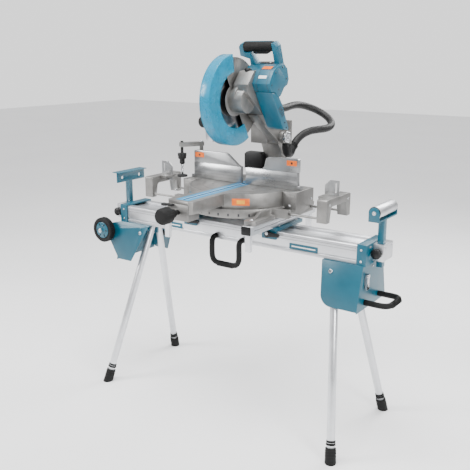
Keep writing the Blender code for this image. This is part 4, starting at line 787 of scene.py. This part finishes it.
def makeHandleDetails():
    look = handleLook
    rings, radius = Parts(), look["gripRadius"]
    turns = [math.radians(-70 - 10 * step) for step in range(23)]
    for groove in range(look["grooves"]):
        if groove == look["grooves"] // 2:  # the grip's middle stays plain
            continue
        x = -0.056 + groove * look["grooveStep"]
        rings.tube([onHandle(x, look["gripY"] + radius * math.cos(t), radius * math.sin(t)) for t in turns],
                   look["groove"], 6)
    rings.made("gripGrooves", blackRubber, "head", "black_rubber")
    line = [onHandle(-0.058 + 0.118 * i / 12, look["gripY"] - 0.0184, 0.002) for i in range(13)]
    Parts().tube(line, look["stripe"], 8).made("gripStripe", tealShell, "head", "teal_plastic")
    strip = Parts().slab(roundedPatch(0.060, 0.022, 0.004), 0.0014, onHandle(0.026, 0.0138, 0.0), handleAxis(1, 0, 0),
                         handleAxis(0, 0, 1))
    strip.made("switchStrip", blackMoulded, "head", "black_plastic", 0.0004)
    button = [(0.0034, -0.001), (0.0034, 0.0008), (0.0026, 0.0016), (0.0008, 0.0018)]
    dot = Parts().turned(onHandle(0.040, 0.0125, 0.0), handleAxis(0, -1, 0), button, 20)
    dot.made("switchButton", whitePatch, "head", "black_plastic")
    screws = Parts()
    for x, y in look["screws"]:
        capScrew(screws, onHandle(x, y, 0.0160), handleAxis(0, 0, 1), look["screw"], 0.0012)
    screws.made("handleScrews", blackBolt, "head", "black_plastic", 0.0002)


makeHandleDetails()
print("head dressed")


# pivot, carriage and rails

railLook = {"x": -0.080, "heights": (0.250, 0.312), "seal": 0.0155, "capRadius": 0.0128}
carriageLook = {"topBolt": 0.0042, "sideBolt": 0.0040, "ring": 0.0192, "ringBead": 0.0013,
                "rings": (0.002, 0.008, 0.014),
                "nutProfile": [(0.020, 0), (0.023, 0.002), (0.023, 0.006), (0.019, 0.008), (0.010, 0.0082),
                               (0.009, 0.0065), (0.003, 0.0062)]}


def makeCarriageDetails():
    look = carriageLook
    pinLow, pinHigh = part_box("pivot_pin")
    star = Parts()
    star.turned((pinHigh.x - 0.001, pivot.y, pivot.z), (1, 0, 0), look["nutProfile"], 60, 0.10, 6)
    star.turned((pinLow.x + 0.001, pivot.y, pivot.z), (-1, 0, 0),
                [(0.013, 0), (0.013, 0.003), (0.011, 0.005), (0.004, 0.0054)], 6)
    star.made("pivotStar", boltSteel, "carriage", "bright_steel", 0.0005)
    low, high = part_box("carriage")
    bolts = Parts()
    for x in (low.x + 0.012, low.x + 0.034):
        for y in (low.y + 0.016, high.y - 0.016):
            capScrew(bolts, (x, y, high.z - 0.0004), (0, 0, 1), look["topBolt"], 0.0032)
    for z in (high.z - 0.020, high.z - 0.070):
        for y in (low.y + 0.018, high.y - 0.018):
            capScrew(bolts, (low.x + 0.0003, y, z), (-1, 0, 0), look["sideBolt"], 0.0026)
    bolts.made("carriageBolts", blackBolt, "carriage", "black_plastic", 0.0002)
    seals = Parts()
    for z in railLook["heights"]:
        for y in (low.y - 0.0004, high.y + 0.0004):
            spot = Vector((sawOrigin.x + railLook["x"], y, sawOrigin.z + z))
            seals.tube(circle(spot, (1, 0, 0), (0, 0, 1), railLook["seal"], 32), 0.0022, 8)
    seals.made("railSeals", blackRubber, "carriage", "black_rubber")
    spot = (low.x - 0.0006, (low.y + high.y) / 2, high.z - 0.047)
    plate = Parts().slab(roundedPatch(0.050, 0.026, 0.004), 0.0010, spot, (0, -1, 0), (0, 0, 1))
    plate.made("carriagePatch", tealShell, "carriage", "teal_plastic", 0.0003)
    rings = Parts()
    tip = onSaw(*hose["route"][0])
    along = (onSaw(*hose["route"][1]) - tip).normalized()
    side = along.orthogonal().normalized()
    for back in look["rings"]:
        rings.tube(circle(tip - along * back, side, along.cross(side), look["ring"], 28), look["ringBead"], 8)
    rings.made("elbowRings", blackRubber, "carriage", "black_rubber")


makeCarriageDetails()

rearLook = {"nut": 0.010, "railNut": 0.0075, "ringBolt": 0.0036, "ringRadius": 0.034,
            "ringAngles": (30, 90, 150, 210, 330),
            "scaleRadius": 0.0440, "longMark": 0.007, "shortMark": 0.004, "markWidth": 0.0006}


def makeRearDetails():
    look = rearLook
    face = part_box("bevel_arm")[1].y
    bolts = Parts()
    for z in railLook["heights"]:
        hexBolt(bolts, (sawOrigin.x + railLook["x"], face - 0.0004, sawOrigin.z + z), (0, 1, 0), look["railNut"],
                0.0055)
    hexBolt(bolts, (sawOrigin.x, face - 0.0004, sawOrigin.z), (0, 1, 0), look["nut"], 0.008)
    centre = Vector((sawOrigin.x, face - 0.0004, sawOrigin.z))
    for angle in look["ringAngles"]:
        out = Vector((math.cos(math.radians(angle)), 0, math.sin(math.radians(angle))))
        capScrew(bolts, centre + out * look["ringRadius"], (0, 1, 0), look["ringBolt"], 0.0030)
    bolts.made("bevelBolts", boltSteel, "bevel_arm", "bright_steel", 0.0002)
    end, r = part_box("slide_rails")[0].y, railLook["capRadius"]
    caps = Parts()
    for z in railLook["heights"]:
        spot = (sawOrigin.x + railLook["x"], end + 0.001, sawOrigin.z + z)
        caps.turned(spot, (0, -1, 0), [(r, -0.010), (r, 0.001), (0.0105, 0.0024), (0.003, 0.0026)], 28)
    caps.made("railCaps", blackMoulded, "bevel_arm", "black_plastic")
    scale, centre = Parts(), Vector((sawOrigin.x, face + 0.0001, sawOrigin.z))
    for mark in range(-45, 46, 5):
        t = math.radians(90 + mark)
        size = look["longMark"] if mark % 15 == 0 else look["shortMark"]
        out, across = Vector((math.cos(t), 0, math.sin(t))), Vector((-math.sin(t), 0, math.cos(t)))
        scale.slab(dash(size, look["markWidth"]), -0.0004, centre + out * (look["scaleRadius"] - size / 2), out,
                   across)
    scale.made("bevelScale", darkInkAndPaintedShade, "bevel_arm")


makeRearDetails()
print("carriage and rails dressed")


# knobs: ribs that give the turned solids their grip

def knobRibs(name, node, axis, reach, count, radius, body, finish=blackRubber, slot="black_rubber", bead=0.0016):
    # straight ribs along the widest part of a round knob
    centre, axis = middle(node), Vector(axis).normalized()
    across = axis.orthogonal().normalized()
    other = axis.cross(across)
    ribs = Parts()
    for step in range(count):
        t = math.tau * step / count
        out = (across * math.cos(t) + other * math.sin(t)) * radius
        profile = ((0.97, reach[0] - 0.001), (1.0, reach[0]), (1.0, reach[1]), (0.97, reach[1] + 0.001))
        ribs.tube([centre + out * k + axis * s for k, s in profile], bead, 8)
    ribs.made(name, finish, body, slot)


knobRibs("mitreGripRibs", "mitre_grip", (0, -1, 0), (0.006, 0.038), 12, 0.0282, "mitre_grip")
knobRibs("bevelKnobRibs", "bevel_knob", (0, 1, 0), (-0.008, 0.008), 10, spread("bevel_knob").x / 2 - 0.0008,
         "bevel_knob", bead=0.0014)
for side in ("left", "right"):
    knobRibs(f"postKnobRibs_{side}", f"post_knob_{side}", (0, 1, 0), (-0.006, 0.006), 10,
             spread(f"post_knob_{side}").x / 2 - 0.0008,
             f"post_knob_{side}", blackMoulded, "black_plastic", 0.0013)

viseLook = {"thread": 0.0044, "turns": 26, "threadBead": 0.0005, "knob": 0.0168, "knobRibs": 10, "knobBead": 0.0015,
            "pad": [(0.0212, 0.0002), (0.0212, 0.0020), (0.020, 0.0030), (0.004, 0.0030)],
            "nutAt": (-0.236, 0.036, 0.148)}


def makeViseDetails():
    look, tip = viseLook, middle("vise_screw")
    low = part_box("vise_screw")[0].z

    def onScrew(radius, t, up):
        return Vector((tip.x + radius * math.cos(t), tip.y + radius * math.sin(t), low + up))

    steps = look["turns"] * 12
    thread = Parts().tube([onScrew(look["thread"], math.tau * i / 12, 0.018 + 0.034 * i / steps)
                           for i in range(steps + 1)],
                          look["threadBead"], 6)
    thread.made("viseThread", boltSteel, "vise_screw", "bright_steel")
    ribs = Parts()
    for step in range(look["knobRibs"]):
        t = math.tau * step / look["knobRibs"]
        ribs.tube([onScrew(look["knob"], t, up) for up in (0.086, 0.092, 0.098)], look["knobBead"], 8)
    ribs.made("viseKnobRibs", blackMoulded, "vise_screw", "black_plastic")
    pad = Parts().turned((tip.x, tip.y, low), (0, 0, 1), look["pad"], 28)
    pad.made("visePad", blackRubber, "vise_screw", "black_rubber")
    nut = Parts()
    hexBolt(nut, onSaw(*look["nutAt"]), (0, 0, 1), 0.0065, 0.0035)
    nut.made("viseNut", boltSteel, "vise_arm", "bright_steel", 0.0002)


makeViseDetails()


# table: scale, rings, slot board screws and plain patches

tableLook = {
    "rings": ((0.160, 0.0012, 0), (0.206, 0.0008, 4)),  # radius, width, how much shorter in degrees
    "skirt": 0.2145, "scaleRadius": 0.2245, "markWidth": 0.0007, "slotScrew": 0.0030, "rimScrew": 0.0042,
    "slotScrewsAt": (-0.360, -0.250, -0.130, -0.010, 0.080), "rimScrewsAt": (20, 60, 120, 160, 200, 235, 305, 340),
    # name, middle angle, half of the width in degrees, half of the height, how proud, finish
    "patches": (("tableOrangePatch", -58, 8.8, 0.013, 0.0008, orangePatch),
                ("tablePalePatch", -58, 4.0, 0.007, 0.0011, yellowPatch),
                ("tableTealPatch", -127, 6.6, 0.010, 0.0008, tealPowder))}


def ringStrip(parts, centre, inner, outer, first, last, steps, thickness):
    angles = [math.radians(first + (last - first) * i / steps) for i in range(steps + 1)]
    outline = [(outer * math.cos(a), outer * math.sin(a)) for a in angles]
    outline += [(inner * math.cos(a), inner * math.sin(a)) for a in reversed(angles)]
    parts.slab(outline, thickness, centre, (1, 0, 0), (0, 1, 0))


def polar(radius, angle, z=0.0):
    # a place on the saw at an angle round the table's middle
    return onSaw(radius * math.cos(math.radians(angle)), radius * math.sin(math.radians(angle)), z)


def makeTableDetails():
    look, top = tableLook, sawOrigin + Vector((0, 0, -0.0003))
    rings = Parts()
    for first, last in ((-78, 78), (102, 258)):
        for radius, width, less in look["rings"]:
            ringStrip(rings, top, radius, radius + width, first + less, last - less, 60, 0.0006)
    rings.made("tableRings", darkInkAndPaintedShade, "turntable")
    marks = Parts()
    for mark in range(-60, 61):
        out = (polar(1, mark - 90) - sawOrigin).normalized()
        size = 0.0085 if mark % 15 == 0 else 0.0062 if mark % 5 == 0 else 0.0038
        spot = sawOrigin + out * (look["scaleRadius"] - size / 2) + Vector((0, 0, -0.0568))
        marks.slab(dash(size, look["markWidth"]), 0.0006, spot, out, Vector((0, 0, 1)).cross(out))
    marks.made("mitreScale", darkInkAndPaintedShade, "saw_base")
    pointer = Parts().slab([(-0.006, 0.012), (0.006, 0.012), (0.0, 0.0)], 0.0012, onSaw(0.050, -0.228, -0.0002),
                           (1, 0, 0), (0, -1, 0))
    pointer.made("mitrePointer", orangePatch, "turntable")
    screws = Parts()
    for y in look["slotScrewsAt"]:
        for side in (-1, 1):
            capScrew(screws, onSaw(side * 0.0235, y, -0.0013), (0, 0, 1), look["slotScrew"], 0.0004)
    for angle in look["rimScrewsAt"]:
        capScrew(screws, polar(0.185, angle, -0.0012), (0, 0, 1), look["rimScrew"], 0.0006)
    screws.made("tableScrews", boltSteel, "turntable", "bright_steel", 0.0002)
    # near-black discs on the table top: painted shade standing for four holes
    holeShade = Parts()
    for angle in (-38, 218, 38, 142):
        holeShade.turned(polar(0.120, angle, -0.0004), (0, 0, 1), [(0.0052, 0), (0.0052, 0.0006), (0.0046, 0.0007)], 20)
    holeShade.made("tableHolesPaintedShade", darkInkAndPaintedShade, "turntable")
    edges = Parts()
    for side in (-1, 1):  # thin pale lines beside the slot
        x = side * 0.0085
        edges.block((x - 0.0005, -0.374, -0.0006), (x + 0.0005, 0.092, 0.0002), Matrix.Translation(sawOrigin))
    edges.made("slotLines", whitePatch, "turntable", "kerf_plastic")
    for name, angle, wide, tall, proud, finish in look["patches"]:
        patch = Parts()
        ringStrip(patch, onSaw(0, 0, -0.030 - tall), look["skirt"], look["skirt"] + 0.0005 + proud, angle - wide,
                  angle + wide, 24, 2 * tall)
        patch.made(name, finish, "turntable", "cast_aluminium")
    # near-black slabs under the table's rim: painted shade standing for the detent notches
    notchShade = Parts()
    for mark in range(-50, 51, 10):  # notches for the detent under the table's rim
        out = (polar(1, mark - 90) - sawOrigin).normalized()
        spot = sawOrigin + out * 0.2256 + Vector((0, 0, -0.078))
        notchShade.slab(roundedPatch(0.006, 0.010, 0.001), 0.0008, spot, Vector((0, 0, 1)).cross(out), (0, 0, 1))
    notchShade.made("detentNotchesPaintedShade", darkInkAndPaintedShade, "saw_base")


makeTableDetails()

fenceLook = {
    "patchAt": {"left": (-0.218, 0.0980), "right": (0.222, 0.1010)}, "knobAt": {"left": -0.100, "right": 0.150},
    "screwsAt": (0.060, 0.120, 0.190, 0.228), "lineHeights": (0.0130, 0.0250, 0.0370, 0.0490), "lineFrom": 0.014,
    "lineTo": 0.245,
    "dot": [(0.0046, -0.001), (0.0046, 0.0007), (0.0036, 0.0010), (0.0010, 0.0010)],
    "knob": [(0.0045, 0), (0.0045, 0.006), (0.012, 0.008), (0.013, 0.010), (0.013, 0.018), (0.010, 0.020),
             (0.003, 0.0205)]}


def makeFenceDetails():
    look = fenceLook
    for side, name in ((-1, "left"), (1, "right")):
        body = f"upper_fence_{name}"
        x, z = look["patchAt"][name]
        patch = Parts().slab(roundedPatch(0.044, 0.020, 0.002), 0.0006, onSaw(x, 0.0006, z), (1, 0, 0), (0, 0, 1))
        patch.made(f"fencePatch_{name}", orangePatch, body, "machined_aluminium")
        dot = Parts().turned(onSaw(x, 0.0004, z), (0, -1, 0), look["dot"], 20)
        dot.made(f"fenceDot_{name}", blackBolt, body, "machined_aluminium")
        screws = Parts()
        for out in look["screwsAt"]:
            capScrew(screws, onSaw(side * out, 0.0012, 0.030), (0, -1, 0), 0.0042, -0.0006)
            hexBolt(screws, onSaw(side * out, 0.0178, 0.030), (0, 1, 0), 0.0050, 0.0035)
        screws.made(f"fenceScrews_{name}", boltSteel, "saw_base", "bright_steel", 0.0001)
        lines = Parts()
        ends = sorted((side * look["lineFrom"], side * look["lineTo"]))
        for z in look["lineHeights"]:
            lines.block((ends[0], -0.0001, z), (ends[1], 0.0004, z + 0.0005), Matrix.Translation(sawOrigin))
        lines.made(f"fenceLines_{name}", darkInkAndPaintedShade, "saw_base")
        knob = Parts().turned(onSaw(look["knobAt"][name], 0.0165, 0.088), (0, 1, 0), look["knob"], 40, 0.08, 8)
        knob.made(f"fenceKnob_{name}", blackMoulded, body, "black_plastic")


makeFenceDetails()

baseLook = {"boltX": 0.190, "boltsY": (-0.225, 0.170), "sideX": 0.2702, "sidesY": (-0.092, 0.072),
            "panelAt": (0.2415, -0.0448, -0.040), "knobAt": (0.232, -0.046, -0.0715), "wingScrewInset": 0.022,
            "knob": [(0.0045, 0), (0.0045, 0.010), (0.011, 0.012), (0.012, 0.014), (0.012, 0.024), (0.009, 0.026),
                     (0.003, 0.0265)]}


def makeBaseDetails():
    look = baseLook
    bolts = Parts()
    for side in (-1, 1):
        for y in look["boltsY"]:
            hexBolt(bolts, onSaw(side * look["boltX"], y, -0.0802), (0, 0, 1), 0.0060, 0.0045)
        for y in look["sidesY"]:
            capScrew(bolts, onSaw(side * look["sideX"], y, -0.040), (side, 0, 0), 0.0045, 0.0030)
    bolts.made("baseBolts", boltSteel, "saw_base", "bright_steel", 0.0002)
    for side, name in ((-1, "left"), (1, "right")):
        x, y, z = look["panelAt"]
        panel = Parts().slab(roundedPatch(0.046, 0.050, 0.006), 0.0010, onSaw(side * x, y, z), (1, 0, 0), (0, 0, 1))
        panel.made(f"towerPanel_{name}", castGrey, "saw_base", "cast_aluminium", 0.0004)
        x, y, z = look["knobAt"]
        knob = Parts().turned(onSaw(side * x, y, z), (0, -1, 0), look["knob"], 40, 0.09, 6)
        knob.made(f"wingKnob_{name}", blackMoulded, "saw_base", "black_plastic")
        screws = Parts()
        low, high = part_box(f"wing_{name}")
        for y in (low.y + look["wingScrewInset"], high.y - look["wingScrewInset"]):
            x = high.x + 0.0001 if side > 0 else low.x - 0.0001
            capScrew(screws, (x, y, high.z - 0.020), (side, 0, 0), 0.0042, 0.0022)
        screws.made(f"wingScrews_{name}", boltSteel, f"wing_{name}", "bright_steel", 0.0002)
        bolt = Parts()
        low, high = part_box(f"stop_plate_{name}")
        hexBolt(bolt, ((low.x + high.x) / 2, low.y + 0.0004, low.z + 0.012), (0, -1, 0), 0.0048, 0.0035)
        bolt.made(f"stopBolt_{name}", blackBolt, f"stop_plate_{name}", "black_plastic", 0.0002)


makeBaseDetails()
print("table, fences and base dressed")


# stand

standOrigin = Vector((middle("beam").x, middle("beam").y, 0))
beamLook = {"platesAt": (-0.300, 0.335), "plate": (0.12, 0.022, 0.003), "stripe": (0.10, 0.004, 0.0015),
            "plateDrop": 0.010,
            "lineInset": 0.034, "lineHeights": (0.0480, 0.0580), "endScrews": 0.567, "faceScrews": 0.5863}


def onStand(x, y, z):
    return standOrigin + Vector((x, y, z))


def makeBeamDetails():
    look = beamLook
    low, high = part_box("beam")
    plateZ = (low.z + high.z) / 2 - look["plateDrop"]
    plates, stripes = Parts(), Parts()
    for x in look["platesAt"]:
        plates.slab(roundedPatch(*look["plate"]), 0.0007, (standOrigin.x + x, low.y - 0.0005, plateZ), (1, 0, 0),
                    (0, 0, 1))
        stripes.slab(roundedPatch(*look["stripe"]), 0.0011, (standOrigin.x + x, low.y - 0.0006, plateZ), (1, 0, 0),
                     (0, 0, 1))
    plates.made("beamPlates", tealPowder, "stand", "teal_paint")
    stripes.made("beamPlateStripes", whitePatch, "stand", "extruded_aluminium")
    lines = Parts()
    for y in (low.y - 0.0001, high.y + 0.0001):
        for z in look["lineHeights"]:
            lines.block((low.x + look["lineInset"], y - 0.0003, low.z + z),
                        (high.x - look["lineInset"], y + 0.0003, low.z + z + 0.0008))
    lines.made("beamLines", darkInkAndPaintedShade, "stand")
    screws = Parts()
    for way in (-1, 1):
        x = standOrigin.x + way * look["endScrews"]
        for y, out in ((low.y - 0.0055, -1), (high.y + 0.0055, 1)):
            for z in (low.z + 0.014, high.z - 0.014):
                capScrew(screws, (x, y, z), (0, out, 0), 0.0042, 0.0022)
        for y in (-0.050, -0.018, 0.018, 0.050):
            z = high.z - 0.006 if abs(y) > 0.03 else low.z - 0.012
            capScrew(screws, onStand(way * look["faceScrews"], y, z), (way, 0, 0), 0.0038, 0.0022)
    screws.made("capScrews", boltSteel, "stand", "bright_steel", 0.0002)


makeBeamDetails()

housingLook = {"slant": 13, "top": 0.705, "topY": 0.085, "pin": (0.460, 0.036), "rim": (0.505, 0.080),
               "pinBolt": 0.0080, "rivet": 0.0042,
               "rimProfile": [(0.015, -0.001), (0.015, 0.0016), (0.012, 0.0022), (0.0115, 0.0010), (0.002, 0.0008)]}


def makeHousingDetails():
    # bolt heads on the slanting side plates, over the legs' pins and the corners
    look, slant = housingLook, math.radians(housingLook["slant"])
    bolts, rims = Parts(), Parts()
    for way in (-1, 1):
        lowCorner = (0.560, 0.148 if way > 0 else 0.090)
        for side in (-1, 1):
            normal = Vector((0, side * math.cos(slant), math.sin(slant)))

            def onPlate(x, drop, sunk=0.0):
                return onStand(way * x, side * (look["topY"] + math.tan(slant) * drop + 0.0006 - sunk),
                               look["top"] - drop)

            hexBolt(bolts, onPlate(*look["pin"]), normal, look["pinBolt"], 0.0055)
            for corner in ((0.440, 0.012), (0.560, 0.012), lowCorner):
                rivet(bolts, onPlate(*corner), normal, look["rivet"])
            rims.turned(onPlate(*look["rim"], 0.0004), normal, look["rimProfile"], 28)
    bolts.made("housingBolts", boltSteel, "stand", "bright_steel", 0.0002)
    rims.made("housingRims", blackMoulded, "stand", "black_plastic", 0.0003)


makeHousingDetails()

legLook = {"collars": ((0.0, 0.0178), (0.010, 0.0170)), "treads": (0.020, 0.030, 0.040), "tread": 0.0196,
           "treadFlare": 0.004,
           "treadBead": 0.0012}


def makeLegDetails():
    look = legLook
    for end, side in (("left", "front"), ("left", "rear"), ("right", "front"), ("right", "rear")):
        foot, leg = f"foot_{end}_{side}", f"leg_{end}_{side}"
        vertices = [v.co.copy() for v in nodes[leg].data.vertices]
        topZ, lowZ = max(v.z for v in vertices), min(v.z for v in vertices)
        upper = [v for v in vertices if v.z > topZ - 0.010]
        lower = [v for v in vertices if v.z < lowZ + 0.010]
        start = sum(upper, Vector()) / len(upper)
        down = (sum(lower, Vector()) / len(lower) - start).normalized()
        spot = start + down * ((start.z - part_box(foot)[1].z) / -down.z - 0.004)
        collars = Parts()
        for back, radius in look["collars"]:
            profile = [(radius - 0.0025, -0.001), (radius, 0.0), (radius, 0.006), (radius - 0.0025, 0.0075)]
            collars.turned(spot - down * back, -down, profile, 28)
        collars.made(f"footCollar_{end}_{side}", blackRubber, leg, "black_rubber")
        treads, across = Parts(), down.orthogonal().normalized()
        for back in look["treads"]:
            at = spot + down * back
            if at.z > 0.012:
                treads.tube(circle(at, across, down.cross(across), look["tread"] + back * look["treadFlare"], 28),
                            look["treadBead"], 8)
        treads.made(f"footTreads_{end}_{side}", blackRubber, leg, "black_rubber")


makeLegDetails()

wheelLook = {"treads": 36, "treadBead": 0.0011, "treadRows": (-0.011, -0.004, 0.004, 0.011), "spokes": 6,
             "spokeReach": (0.020, 0.027, 0.033),
             "spoke": 0.0018, "nut": 0.0062,
             "hub": [(0.036, 0), (0.036, 0.0020), (0.034, 0.0030), (0.022, 0.0030), (0.021, 0.0050), (0.012, 0.0056)]}


def makeWheelDetails():
    look, yAxis = wheelLook, Vector((0, 1, 0))

    def spokeAxis(step, count):
        t = math.tau * step / count
        return Vector((math.cos(t), 0, math.sin(t)))

    for word, side in (("front", -1), ("rear", 1)):
        low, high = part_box(f"wheel_{word}")
        centre, radius = (low + high) / 2, (high.z - low.z) / 2
        outer = low.y if side < 0 else high.y
        treads = Parts()
        for step in range(look["treads"]):
            out = spokeAxis(step, look["treads"])
            treads.tube([centre + out * (radius - 0.0006) + yAxis * dy + out.cross(yAxis) * dy * 0.25
                         for dy in look["treadRows"]],
                        look["treadBead"], 6)
        treads.made(f"wheelTreads_{word}", blackRubber, f"wheel_{word}", "black_rubber")
        hub = Parts().turned((centre.x, outer - side * 0.004, centre.z), (0, side, 0), look["hub"], 36)
        hub.made(f"wheelHub_{word}", tealPowder, f"wheel_{word}", "teal_paint", 0.0003)
        spokes, face = Parts(), Vector((centre.x, outer - side * 0.0006, centre.z))
        for step in range(look["spokes"]):
            spokes.tube([face + spokeAxis(step, look["spokes"]) * r for r in look["spokeReach"]], look["spoke"], 8)
        spokes.made(f"wheelSpokes_{word}", blackMoulded, f"wheel_{word}", "black_plastic")
        nut = Parts()
        hexBolt(nut, (centre.x, outer + side * 0.0116, centre.z), (0, side, 0), look["nut"], 0.0035)
        nut.made(f"axleNut_{word}", boltSteel, "stand", "bright_steel", 0.0002)


makeWheelDetails()

supportLook = {"cap": [(0.0222, 0), (0.0222, 0.0010), (0.0200, 0.0016), (0.006, 0.0016)], "marks": 9,
               "markFrom": 0.830,
               "markStep": 0.007, "markHalf": 0.0045, "nut": 0.0050, "clamp": 0.0040}


def makeSupportDetails():
    look = supportLook
    low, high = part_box("roller")
    x, z = (low.x + high.x) / 2, (low.z + high.z) / 2
    for side, name in ((-1, "front"), (1, "rear")):
        cap = Parts().turned((x, (low.y if side < 0 else high.y) - side * 0.0006, z), (0, side, 0), look["cap"], 32)
        cap.made(f"rollerCap_{name}", blackMoulded, "roller", "black_plastic")
    nuts = Parts()
    postLow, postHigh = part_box("roller_post")
    for side, y in ((-1, postLow.y), (1, postHigh.y)):
        hexBolt(nuts, (x, y - side * 0.0006, z), (0, side, 0), look["nut"], 0.0034)
    nuts.made("rollerNuts", boltSteel, "post_right", "bright_steel", 0.0002)
    for name in ("right", "left"):
        marks, x = Parts(), middle(f"post_knob_{name}").x
        for step in range(look["marks"]):
            z = look["markFrom"] + step * look["markStep"]
            marks.block((x - look["markHalf"], standOrigin.y - 0.0122, z),
                        (x + look["markHalf"], standOrigin.y - 0.0113, z + 0.0006))
        marks.made(f"postMarks_{name}", darkInkAndPaintedShade, f"post_{name}")
    for name, way in (("right", 1), ("left", -1)):
        clamps = Parts()
        low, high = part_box(f"extension_bar_{name}")
        x = high.x if way > 0 else low.x
        for y in (low.y + 0.012, high.y - 0.012):
            capScrew(clamps, (x - way * 0.0002, y, high.z - 0.012), (way, 0, 0), look["clamp"], 0.0026)
        clamps.made(f"clampScrews_{name}", boltSteel, f"extension_{name}", "bright_steel", 0.0002)


makeSupportDetails()

crossbarLook = {"plug": (0.041, 0.032, 0.004), "plugDrop": 0.0178, "lineInset": 0.020,
                "saddleScrewsY": (-0.053, 0.079), "saddleScrewsX": 0.026}


def makeCrossbarDetails():
    look = crossbarLook
    for name in ("left", "right"):
        low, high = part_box(f"crossbar_{name}")
        centreX = (low.x + high.x) / 2
        plugs, lines, screws, bolt = Parts(), Parts(), Parts(), Parts()
        for y, way in ((low.y, -1), (high.y, 1)):
            plugs.slab(roundedPatch(*look["plug"]), 0.0022, (centreX, y - way * 0.0006, high.z - look["plugDrop"]),
                       (-way, 0, 0), (0, 0, 1))
        plugs.made(f"crossbarPlugs_{name}", blackMoulded, "saw_base", "black_plastic", 0.0006)
        for start, end in ((low.x - 0.0004, low.x + 0.0001), (high.x - 0.0001, high.x + 0.0004)):
            lines.block((start, low.y + look["lineInset"], high.z - 0.0190),
                        (end, high.y - look["lineInset"], high.z - 0.0175))
        lines.made(f"crossbarLines_{name}", darkInkAndPaintedShade, "saw_base")
        for y in look["saddleScrewsY"]:
            for x in (-look["saddleScrewsX"], look["saddleScrewsX"]):
                capScrew(screws, (centreX + x, standOrigin.y + y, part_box(f"saddle_{name}")[1].z - 0.0004), (0, 0, 1),
                         0.0034, 0.0024)
        screws.made(f"saddleScrews_{name}", boltSteel, "saw_base", "bright_steel", 0.0002)
        leverLow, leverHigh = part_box(f"bracket_lever_{name}")
        hexBolt(bolt, (leverLow.x + 0.010, leverLow.y + 0.0004, (leverLow.z + leverHigh.z) / 2 + 0.004), (0, -1, 0),
                0.0046, 0.0030)
        bolt.made(f"leverBolt_{name}", boltSteel, f"lever_{name}", "bright_steel", 0.0002)


makeCrossbarDetails()

sleeveLook = {"carryRings": 15, "carryStep": 0.0050, "carryRadius": 0.0112, "towRings": 13, "towStep": 0.0055,
              "towRadius": 0.0107,
              "bead": 0.0009}


def makeGripSleeves():
    # ribbed sleeves where a hand takes the carry and tow handles
    look, sleeves = sleeveLook, Parts()
    low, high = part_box("carry_handle")
    for step in range(look["carryRings"]):
        spot = Vector(((low.x + high.x) / 2 - 0.035 + step * look["carryStep"], low.y + 0.0110, low.z + 0.0110))
        sleeves.tube(circle(spot, (0, 1, 0), (0, 0, 1), look["carryRadius"], 20), look["bead"], 6)
    low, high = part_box("tow_handle")
    for step in range(look["towRings"]):
        spot = Vector((high.x - 0.0105, (low.y + high.y) / 2 - 0.033 + step * look["towStep"], (low.z + high.z) / 2))
        sleeves.tube(circle(spot, (1, 0, 0), (0, 0, 1), look["towRadius"], 20), look["bead"], 6)
    sleeves.made("handleSleeves", blackRubber, "stand", "black_rubber")


makeGripSleeves()
print("stand dressed")
